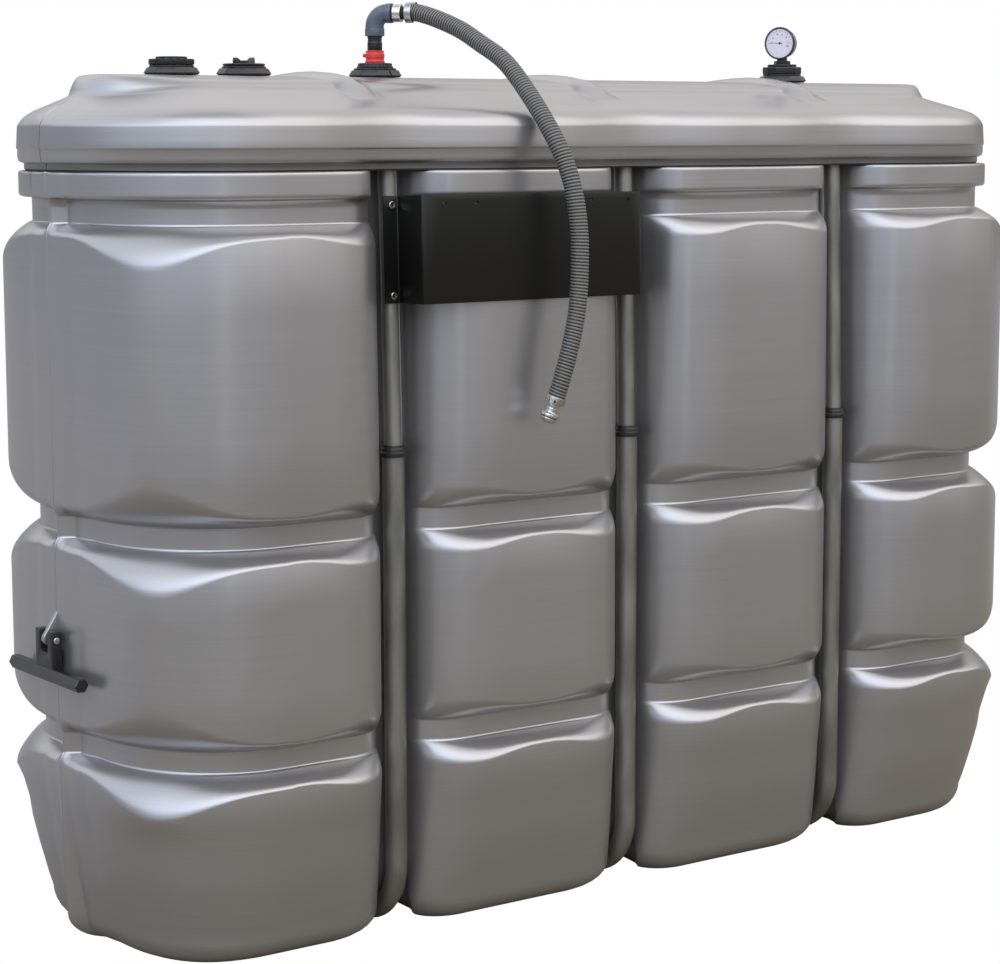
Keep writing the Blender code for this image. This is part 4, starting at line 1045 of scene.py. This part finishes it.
suction = {
    "riserTop": 1.749,
    "outletAngle": math.radians(50.0),
    "outletZ": 1.794,
    "bend": 0.026,
    "elbowRadius": 0.0185,
    "collarRadius": 0.0197,
}
outletWay = np.array((math.cos(suction["outletAngle"]), -math.sin(suction["outletAngle"]), 0.0))
hose = {
    "radius": 0.0163,
    "ribDepth": 0.0015,
    "ribPitch": 0.0062,
    "sides": 24,
    "stepsPerRib": 6,
    "route": (
        (-0.3600, -0.0536, 1.7940),
        (-0.3471, -0.0689, 1.7940),
        (-0.3300, -0.1120, 1.7810),
        (-0.3143, -0.1700, 1.7586),
        (-0.3055, -0.2260, 1.7308),
        (-0.2945, -0.2980, 1.6906),
        (-0.2876, -0.3740, 1.6206),
        (-0.2781, -0.4320, 1.5481),
        (-0.2673, -0.4590, 1.4914),
        (-0.2590, -0.4740, 1.4327),
        (-0.2540, -0.4820, 1.3549),
        (-0.2562, -0.4830, 1.2578),
        (-0.2649, -0.4820, 1.1939),
        (-0.2781, -0.4790, 1.1358),
        (-0.2903, -0.4730, 1.0848),
        (-0.2965, -0.4680, 1.0590),
        (-0.3023, -0.4646, 1.0400),
    ),
}


def outletPoint(distance):
    start = np.array((fitting["places"]["suction"], 0.0, suction["outletZ"]))
    return start + outletWay * distance


def makeElbow():
    s = suction
    turns = np.radians(np.linspace(0.0, 90.0, 19))
    path = [(fitting["places"]["suction"], 0.0, s["riserTop"] + 0.0003)]
    for turn in turns:
        x, y, _ = outletPoint(s["bend"] * (1 - math.cos(turn)))
        path.append((x, y, s["outletZ"] - s["bend"] * (1 - math.sin(turn))))
    path.append(tuple(outletPoint(0.040)))
    body = sweep(path, s["elbowRadius"], "pipe", 40)
    centre = (fitting["places"]["suction"], 0.0, s["riserTop"] + 0.0003)
    socket = lathe([(0, 0.0), (s["collarRadius"], 0.0), (s["collarRadius"], 0.0150), (s["elbowRadius"] - 0.001, 0.0158),
                    (0, 0.0158)], "pipe", centre)
    mouth = lathe([(0, 0.0), (s["elbowRadius"] - 0.001, 0.0), (s["collarRadius"], 0.0010),
                   (s["collarRadius"], 0.0126), (0, 0.0130)], "pipe", outletPoint(0.0240), outletWay)
    joint = lathe([(0, 0.0), (0.0188, 0.0), (0.0188, 0.0028), (0, 0.0028)], "gasket", outletPoint(0.0371), outletWay)
    makePiece("pipeElbow", [body, socket, mouth, joint], ("pipe_elbow",))
    nut = lathe([(0, 0.0003), (0.0172, 0.0003), (0.0180, 0.0012), (0.0180, 0.0160), (0.0172, 0.0172), (0, 0.0172)],
                "zinc", outletPoint(0.040), outletWay, 48, soft=0.0005)
    barb = lathe([(0, 0.0165), (0.0128, 0.0165), (0.0128, 0.0297), (0, 0.0297)], "gasket", outletPoint(0.040),
                 outletWay, soft=0)
    makePiece("hoseTail", [nut, barb], ("hose_tail_top",))
    start = np.array(hose["route"][0])
    band = lathe([(0.0177, -0.0040), (0.0194, -0.0040), (0.0198, -0.0032), (0.0198, 0.0092), (0.0194, 0.0100),
                  (0.0177, 0.0100)], "steel", start, outletWay, closed=True, soft=0.0004)
    across = np.cross(outletWay, (0, 0, 1))
    screwAt = start + outletWay * 0.0075 + np.array((0, 0, 0.0182))
    housing = block((0.0190, 0.0110, 0.0062), "steel", screwAt, outletWay, across, 0.0008)
    screw = lathe([(0, -0.0105), (0.0030, -0.0105), (0.0030, 0.0115), (0, 0.0115)], "gasket", screwAt, outletWay, 16)
    makePiece("hoseClampTop", [band, housing, screw], ("hose_clamp_top",))


def smoothRoute(route, steps):
    # Catmull-Rom curve through the route's points
    pts = np.array(route)
    pts = np.concatenate([[2 * pts[0] - pts[1]], pts, [2 * pts[-1] - pts[-2]]])
    t = np.linspace(0, 1, steps, endpoint=False)[:, None]
    out = []
    for i in range(1, len(pts) - 2):
        a, b, c, d = pts[i - 1:i + 3]
        out.append(0.5 * (2 * b + (c - a) * t + (2 * a - 5 * b + 4 * c - d) * t ** 2
                          + (3 * b - a - 3 * c + d) * t ** 3))
    out.append(pts[-2][None])
    return np.concatenate(out)


def evenly(path, count):
    # The same path with points at equal distances along it
    lengths = np.concatenate([[0.0], np.cumsum(np.linalg.norm(np.diff(path, axis=0), axis=1))])
    at = np.linspace(0.0, lengths[-1], count)
    return np.stack([np.interp(at, lengths, path[:, k]) for k in range(3)], -1), lengths[-1]


def makeCoupling():
    # The bottom clamp, the coupling's body and its cap, one below the other on the hose's end
    end = np.array(hose["route"][-1])
    along = end - np.array(hose["route"][-2])
    along /= np.linalg.norm(along)
    band = lathe([(0.0179, -0.0145), (0.0192, -0.0145), (0.0196, -0.0138), (0.0196, -0.0007), (0.0192, 0.0),
                  (0.0179, 0.0)], "steel", end, along, closed=True, soft=0.0004)
    left = np.array((-0.78, -0.62, 0.0))
    earAt = end - along * 0.0085 + left * 0.0225
    ear = block((0.0090, 0.0085, 0.0095), "steel", earAt, left, along, 0.0010)
    bolt = lathe([(0, -0.0065), (0.0024, -0.0065), (0.0024, 0.0065), (0, 0.0065)], "gasket", earAt,
                 np.cross(left, along), 16)
    clamp = makePiece("hoseClampBottom", [band, ear, bolt], ("hose_clamp_bottom",))
    body = lathe([(0, 0.0003), (0.0140, 0.0003), (0.0140, 0.0032), (0.0116, 0.0042), (0.0112, 0.0060),
                  (0.0112, 0.0165), (0.0120, 0.0180), (0.0182, 0.0200), (0.0182, 0.0250), (0.0174, 0.0262),
                  (0, 0.0262)], "zinc", end, along, soft=0.0006)
    ring = lathe([(0, 0.0085), (0.0122, 0.0085), (0.0122, 0.0115), (0, 0.0115)], "zinc", end, along)
    coupling = makePiece("hoseCoupling", [body, ring], ("hose_coupling",))
    gasket = lathe([(0, 0.0264), (0.0165, 0.0264), (0.0165, 0.0276), (0, 0.0276)], "gasket", end, along, soft=0)
    capForm = lathe([(0, 0.0272), (0.0157, 0.0272), (0.0157, 0.0302), (0.0145, 0.0345), (0.0105, 0.0370),
                     (0, 0.0375)], "zinc", end, along, soft=0.0008)
    cap = makePiece("couplingCap", [gasket, capForm], ("coupling_cap",))
    return [clamp, coupling, cap]


def makeHose(endPieces):
    # Radius = wall + rib depth * (raised cosine along the spiral) ** 0.7
    h = hose
    _, length = evenly(smoothRoute(h["route"], 16), 40)
    ribs = int(length / h["ribPitch"])
    path, length = evenly(smoothRoute(h["route"], 24), ribs * h["stepsPerRib"] + 1)
    around = np.linspace(0.0, math.tau, h["sides"], endpoint=False)
    along = np.arange(len(path)) / h["stepsPerRib"] * math.tau
    height = (0.5 + 0.5 * np.cos(along[:, None] + around[None, :])) ** 0.7
    points, faces = tubeGrid(path, h["radius"] + h["ribDepth"] * height, h["sides"])
    obj = makePiece("suctionHose", [(points, faces, "hose")], ("suction_hose",), sharpAngle=60.0)
    ribs = obj.data.attributes.new("ribHeight", "FLOAT", "POINT")
    ribs.data.foreach_set("value", height.astype(np.float32).ravel())
    print("hose length", round(float(length), 3))


makeCollars()
makeCaps()
makeElbow()
makeHose(makeCoupling())
print("fittings and hose made")


# Contents gauge: nut, stem and a round case that looks towards the left front

gauge = {
    "z": 1.7545,
    "turn": math.radians(244.0),
    "case": 0.0315,
    "rim": 0.0363,
    "dial": 0.0320,
    "nutHigh": 0.0163,
    "nutRadius": 0.0441,
    "ticks": 13,
    "numbers": ("0", "2", "4", "6", "8", "10"),
}


def dialText(text, place, size, origin, right, out):
    # A plain number as flat raised ink on the dial
    curve = bpy.data.curves.new("dialNumber", "FONT")
    curve.body = text
    curve.size = size
    curve.align_x = "CENTER"
    curve.align_y = "CENTER"
    curve.extrude = 0.00012
    curve.resolution_u = 2
    draft = bpy.data.objects.new("dialNumber", curve)
    bpy.context.scene.collection.objects.link(draft)
    bpy.context.view_layer.update()
    mesh = bpy.data.meshes.new_from_object(draft.evaluated_get(bpy.context.evaluated_depsgraph_get()))
    bpy.data.objects.remove(draft, do_unlink=True)
    work = bmesh.new()
    work.from_mesh(mesh)
    bmesh.ops.remove_doubles(work, verts=work.verts, dist=1e-7)
    work.to_mesh(mesh)
    work.free()
    flat = np.array([v.co for v in mesh.vertices])
    faces = [tuple(face.vertices) for face in mesh.polygons]
    points = origin + (flat[:, :1] + place[0]) * right + (flat[:, 1:2] + place[1]) * np.array((0, 0, 1.0))
    return points + flat[:, 2:] * out, faces, "ink"


def makeGauge():
    g, f = gauge, fitting
    at = (f["places"]["gauge"], 0, f["top"])

    def lobed(radius, height, angles):
        # twelve rounded lobes round the nut
        return radius - np.where(radius > 0.040, 0.0016, 0.0) * (0.5 - 0.5 * np.cos(angles * 12))

    nut = lathe([(0, 0), (0.0425, 0), (g["nutRadius"], 0.0020), (g["nutRadius"], 0.0143), (0.0425, g["nutHigh"]),
                 (0, g["nutHigh"])], "gloss", at, steps=144, wave=lobed, soft=0.0008)
    makePiece("gaugeNut", [nut], ("gauge_nut",))
    stemZ = f["top"] + g["nutHigh"] + 0.0003
    high = g["z"] - g["case"] - 0.0005 - stemZ
    flange = lathe([(0, 0), (0.0325, 0), (0.0325, 0.0052), (0, 0.0052)], "gloss", (at[0], 0, stemZ), soft=0.0007)
    hexNut = lathe([(0, 0.0050), (0.0196, 0.0050), (0.0196, 0.0130), (0, 0.0130)], "gloss", (at[0], 0, stemZ),
                   steps=6, soft=0)
    neck = lathe([(0, 0.0128), (0.0120, 0.0128), (0.0115, 0.0150), (0.0115, high), (0, high)], "gloss",
                 (at[0], 0, stemZ))
    makePiece("gaugeStem", [flange, hexNut, neck], ("gauge_stem",))
    out = np.array((math.sin(g["turn"]), math.cos(g["turn"]), 0.0))
    right = np.array((-math.cos(g["turn"]), math.sin(g["turn"]), 0.0))
    centre = np.array((at[0], 0, g["z"]))
    back = lathe([(0, -0.0120), (0.0270, -0.0120), (0.0315, -0.0095), (0.0315, 0.0126), (0, 0.0126)], "case", centre,
                 out, 64, soft=0.0010)
    groove = lathe([(0.0305, -0.0075), (0.0319, -0.0075), (0.0319, -0.0055), (0.0305, -0.0055)], "bezel", centre,
                   out, 64, closed=True, soft=0)
    bezel = lathe([(0.0300, 0.0124), (0.0350, 0.0124), (g["rim"], 0.0134), (g["rim"], 0.0168), (0.0345, 0.0185),
                   (0.0325, 0.0180), (0.0323, 0.0151), (0.0300, 0.0151)], "bezel", centre, out, 64, closed=True,
                  soft=0.0006)
    makePiece("gaugeCase", [back, groove, bezel], ("gauge_case",))
    face = lathe([(0, 0.0153), (g["dial"], 0.0153), (g["dial"], 0.0160), (0, 0.0160)], "dial", centre, out, 64,
                 soft=0)
    forms = [face]
    up = np.array((0.0, 0.0, 1.0))
    surface = centre + out * 0.01605
    for i in range(g["ticks"]):
        turn = math.pi * (1 - i / (g["ticks"] - 1))
        way = right * math.cos(turn) + up * math.sin(turn)
        length = 0.0050 if i % 3 == 0 else 0.0030
        forms.append(block((length, 0.0009, 0.0002), "ink", surface + way * (0.0290 - length / 2), way,
                           np.cross(out, way), 0.00003))
    for i, text in enumerate(g["numbers"]):
        turn = math.pi * (1 - i / (len(g["numbers"]) - 1))
        place = (0.0195 * math.cos(turn), 0.0195 * math.sin(turn) + 0.001)
        forms.append(dialText(text, place, 0.0068, surface, right, out))
    needleWay = -right * 0.998 + up * 0.06
    needle = [(-0.007, -0.0014), (0.0, -0.0008), (0.0235, -0.0003), (0.0235, 0.0003), (0.0, 0.0008), (-0.007, 0.0014)]
    forms.append(slab(needle, 0.0003, 0.00004, "ink", surface + out * 0.0002, needleWay, np.cross(out, needleWay)))
    forms.append(lathe([(0, 0), (0.0030, 0), (0.0030, 0.0004), (0, 0.0004)], "ink", surface, out, 20, soft=0))
    for drop in (0.0045, 0.0075):
        forms.append(block((0.0075, 0.0014, 0.0002), "redInk", surface + right * 0.0195 - up * drop, right, up,
                           0.00003))
    makePiece("gaugeDial", forms, ("gauge_dial",))
    glass = lathe([(0, 0.0167), (0.0320, 0.0167), (0.0320, 0.0174), (0, 0.0174)], "glass", centre, out, 64, soft=0)
    makePiece("gaugeGlass", [glass], ("gauge_glass",))


makeGauge()


# Carrying handles: a forked stem on a pin, with a six-sided bar across its foot

def makeHandles():
    h = handle
    ear = h["earTop"]
    # outline across the tank and up, from the pin; the fork's slot straddles the fin
    outline = [(-h["stemHalf"], ear), (-h["slotHalf"], ear), (-h["slotHalf"], h["slotLow"]),
               (h["slotHalf"], h["slotLow"]), (h["slotHalf"], ear), (h["stemHalf"], ear),
               (h["stemHalf"], h["stemLow"]), (-h["stemHalf"], h["stemLow"])]
    for name, side in (("left", -1), ("right", 1)):
        at = (side * h["pinX"], 0.0, h["pinZ"])
        stem = slab(rounded(outline, 0.0035, 3, True), h["stemThick"], 0.0022, "black", at, (0, 1, 0), (0, 0, 1))
        boss = []
        for half in (-1, 1):
            boss.append(lathe([(0, 0), (0.0095, 0), (0.0095, 0.0006), (0, 0.0006)], "black",
                              (at[0], half * (h["stemHalf"] - 0.0004), at[2]), (0, half, 0), 32, soft=0.0002))
        length = h["gripLength"] / 2
        bar = lathe([(0, -length), (h["gripRadius"] - 0.0022, -length), (h["gripRadius"], -length + 0.0022),
                     (h["gripRadius"], length - 0.0022), (h["gripRadius"] - 0.0022, length), (0, length)],
                    "black", (side * (h["pinX"] + h["gripOut"]), 0.0, h["gripZ"]), (0, 1, 0), 6, soft=0)
        makePiece("carryHandle_" + name, [stem, bar, *boss], ("handle_" + name,),
                  body="handle_" + name, sharpAngle=25.0)
        head, reach = 0.0065, 0.037
        pin = lathe([(0, -reach), (head - 0.0015, -reach), (head, -h["stemHalf"] - 0.0003),
                     (h["pinRadius"], -h["stemHalf"] - 0.0003), (h["pinRadius"], h["stemHalf"] + 0.0003),
                     (head, h["stemHalf"] + 0.0003), (head - 0.0015, reach), (0, reach)], "zinc", at, (0, 1, 0), 32,
                    soft=0.0003)
        makePiece("handlePin_" + name, [pin], ("handle_pin_" + name,))


makeHandles()


def makeLeakIndicator():
    at = (leak["x"], 0.0, leak["z"] + 0.0003)
    foot = lathe([(0, 0), (0.0180, 0), (0.0180, 0.0060), (0, 0.0060)], "clear", at, steps=40)
    dome = lathe([(0, 0.0062), (0.0168, 0.0062), (0.0175, 0.0240), (0.0158, 0.0355), (0.0100, 0.0408), (0, 0.0418)],
                 "clear", at, steps=40, soft=0.003)
    makePiece("leakIndicator", [foot, dome], ("leak_indicator",))


makeLeakIndicator()
print("gauge, handles and indicator made")


# Studio

studio = {
    # tone by the place across the floor: far in front, warm near the tank, paler behind
    "floorFrom": -6.0,
    "floorTo": 1.0,
    "floorTones": ((0.0, (0.150, 0.140, 0.125)), (0.52, (0.208, 0.178, 0.128)), (0.85, (0.208, 0.178, 0.128)),
                   (1.0, (0.30, 0.29, 0.29))),
    "roomScale": 2.35,
    # strength by the height of the direction: dim at eye level, a bright band of lamps, dimmer overhead
    "roomByHeight": ((0.0, 0.33), (0.16, 0.31), (0.28, 0.64), (0.40, 1.0), (0.86, 1.0), (0.96, 0.52), (1.0, 0.42)),
    # brighter towards the front than behind
    "roomByDepth": ((0.38, 1.0), (0.62, 0.50)),
    # tone by the direction along the tank: cooler and brighter from the left
    "roomBySide": ((0.12, (0.98, 1.07, 1.25)), (0.42, (0.96, 0.98, 1.03)), (0.7, (0.92, 0.90, 0.88)), (0.9, (0.75, 0.72, 0.70))),
    "cameraPlace": (-3.2130, -4.3660, 1.5552),
    "yaw": 35.503,
    "pitch": 7.799,
    "roll": -0.128,
    "lens": 91.626,
}


def makeCamera():
    data = bpy.data.cameras.new("photoView")
    data.sensor_width = 36.0
    data.lens = studio["lens"]
    data.clip_start = 0.05
    data.clip_end = 100.0
    obj = bpy.data.objects.new("photoView", data)
    bpy.context.scene.collection.objects.link(obj)
    turn = Quaternion((0, 0, 1), math.radians(-studio["yaw"]))
    turn = turn @ Quaternion((1, 0, 0), math.radians(90.0 - studio["pitch"]))
    turn = turn @ Quaternion((0, 0, 1), math.radians(studio["roll"]))
    obj.rotation_mode = "QUATERNION"
    obj.rotation_quaternion = turn
    obj.location = studio["cameraPlace"]
    bpy.context.scene.camera = obj


def makeFloor():
    # Plain floor that the camera sees as white paper, and that throws a dimmer, warm light up
    reach = 30.0
    mesh = bpy.data.meshes.new("studioFloor")
    corners = [(-reach, -reach, 0), (reach, -reach, 0), (reach, reach, 0), (-reach, reach, 0)]
    mesh.from_pydata(corners, [], [(0, 1, 2, 3)])
    floor = bpy.data.objects.new("studioFloor", mesh)
    bpy.context.scene.collection.objects.link(floor)
    mat, tree, shader = newMaterial("floorTone", studio["floorTones"][0][1], 0.9)
    place = tree.nodes.new("ShaderNodeTexCoord")
    split = tree.nodes.new("ShaderNodeSeparateXYZ")
    across = tree.nodes.new("ShaderNodeMapRange")
    across.inputs["From Min"].default_value = studio["floorFrom"]
    across.inputs["From Max"].default_value = studio["floorTo"]
    tree.links.new(place.outputs["Object"], split.inputs["Vector"])
    tree.links.new(split.outputs["Y"], across.inputs["Value"])
    tree.links.new(addRamp(tree, across.outputs["Result"], studio["floorTones"]), shader.inputs["Base Color"])
    seen = tree.nodes.new("ShaderNodeEmission")
    rays = tree.nodes.new("ShaderNodeLightPath")
    mix = tree.nodes.new("ShaderNodeMixShader")
    output = tree.nodes["Material Output"]
    tree.links.new(rays.outputs["Is Camera Ray"], mix.inputs["Fac"])
    tree.links.new(shader.outputs["BSDF"], mix.inputs[1])
    tree.links.new(seen.outputs["Emission"], mix.inputs[2])
    tree.links.new(mix.outputs["Shader"], output.inputs["Surface"])
    mesh.materials.append(mat)


def makeRoom():
    # Soft room light by direction, as three ramps; plain white to the camera
    world = bpy.data.worlds.new("paleRoom")
    bpy.context.scene.world = world
    world.use_nodes = True
    tree = world.node_tree
    light = tree.nodes["Background"]
    way = tree.nodes.new("ShaderNodeTexCoord")
    split = tree.nodes.new("ShaderNodeSeparateXYZ")
    along = tree.nodes.new("ShaderNodeMapRange")
    along.inputs["From Min"].default_value = -1.0
    across = tree.nodes.new("ShaderNodeMapRange")
    across.inputs["From Min"].default_value = -1.0
    across.inputs["To Max"].default_value = 1.0
    both = tree.nodes.new("ShaderNodeMath")
    both.operation = "MULTIPLY"
    scale = tree.nodes.new("ShaderNodeMath")
    scale.operation = "MULTIPLY"
    scale.inputs[1].default_value = studio["roomScale"]
    seen = tree.nodes.new("ShaderNodeBackground")
    seen.inputs["Color"].default_value = (1.0, 1.0, 1.0, 1.0)
    rays = tree.nodes.new("ShaderNodeLightPath")
    mix = tree.nodes.new("ShaderNodeMixShader")
    tree.links.new(way.outputs["Generated"], split.inputs["Vector"])
    byHeight = addRamp(tree, split.outputs["Z"], [(z, (v, v, v)) for z, v in studio["roomByHeight"]])
    tree.links.new(split.outputs["Y"], across.inputs["Value"])
    byDepth = addRamp(tree, across.outputs["Result"], [(y, (v, v, v)) for y, v in studio["roomByDepth"]])
    tree.links.new(byHeight, both.inputs[0])
    tree.links.new(byDepth, both.inputs[1])
    tree.links.new(both.outputs["Value"], scale.inputs[0])
    tree.links.new(scale.outputs["Value"], light.inputs["Strength"])
    tree.links.new(split.outputs["X"], along.inputs["Value"])
    tree.links.new(addRamp(tree, along.outputs["Result"], studio["roomBySide"]), light.inputs["Color"])
    tree.links.new(rays.outputs["Is Camera Ray"], mix.inputs["Fac"])
    tree.links.new(light.outputs["Background"], mix.inputs[1])
    tree.links.new(seen.outputs["Background"], mix.inputs[2])
    tree.links.new(mix.outputs["Shader"], tree.nodes["World Output"].inputs["Surface"])


def areaLight(name, place, target, size, power, colour=(1.0, 1.0, 1.0)):
    data = bpy.data.lights.new(name, "AREA")
    data.shape = "RECTANGLE"
    data.size, data.size_y = size
    data.energy = power
    data.color = colour
    obj = bpy.data.objects.new(name, data)
    bpy.context.scene.collection.objects.link(obj)
    obj.location = place
    obj.rotation_mode = "QUATERNION"
    obj.rotation_quaternion = (Vector(target) - Vector(place)).to_track_quat("-Z", "Y")


def makeStudio():
    bpy.context.scene.view_settings.view_transform = "Standard"
    makeCamera()
    makeFloor()
    makeRoom()
    areaLight("frontLight", (-4.3, -7.2, 1.15), (-0.2, -0.3, 1.0), (0.9, 2.3), 3.6)


makeStudio()
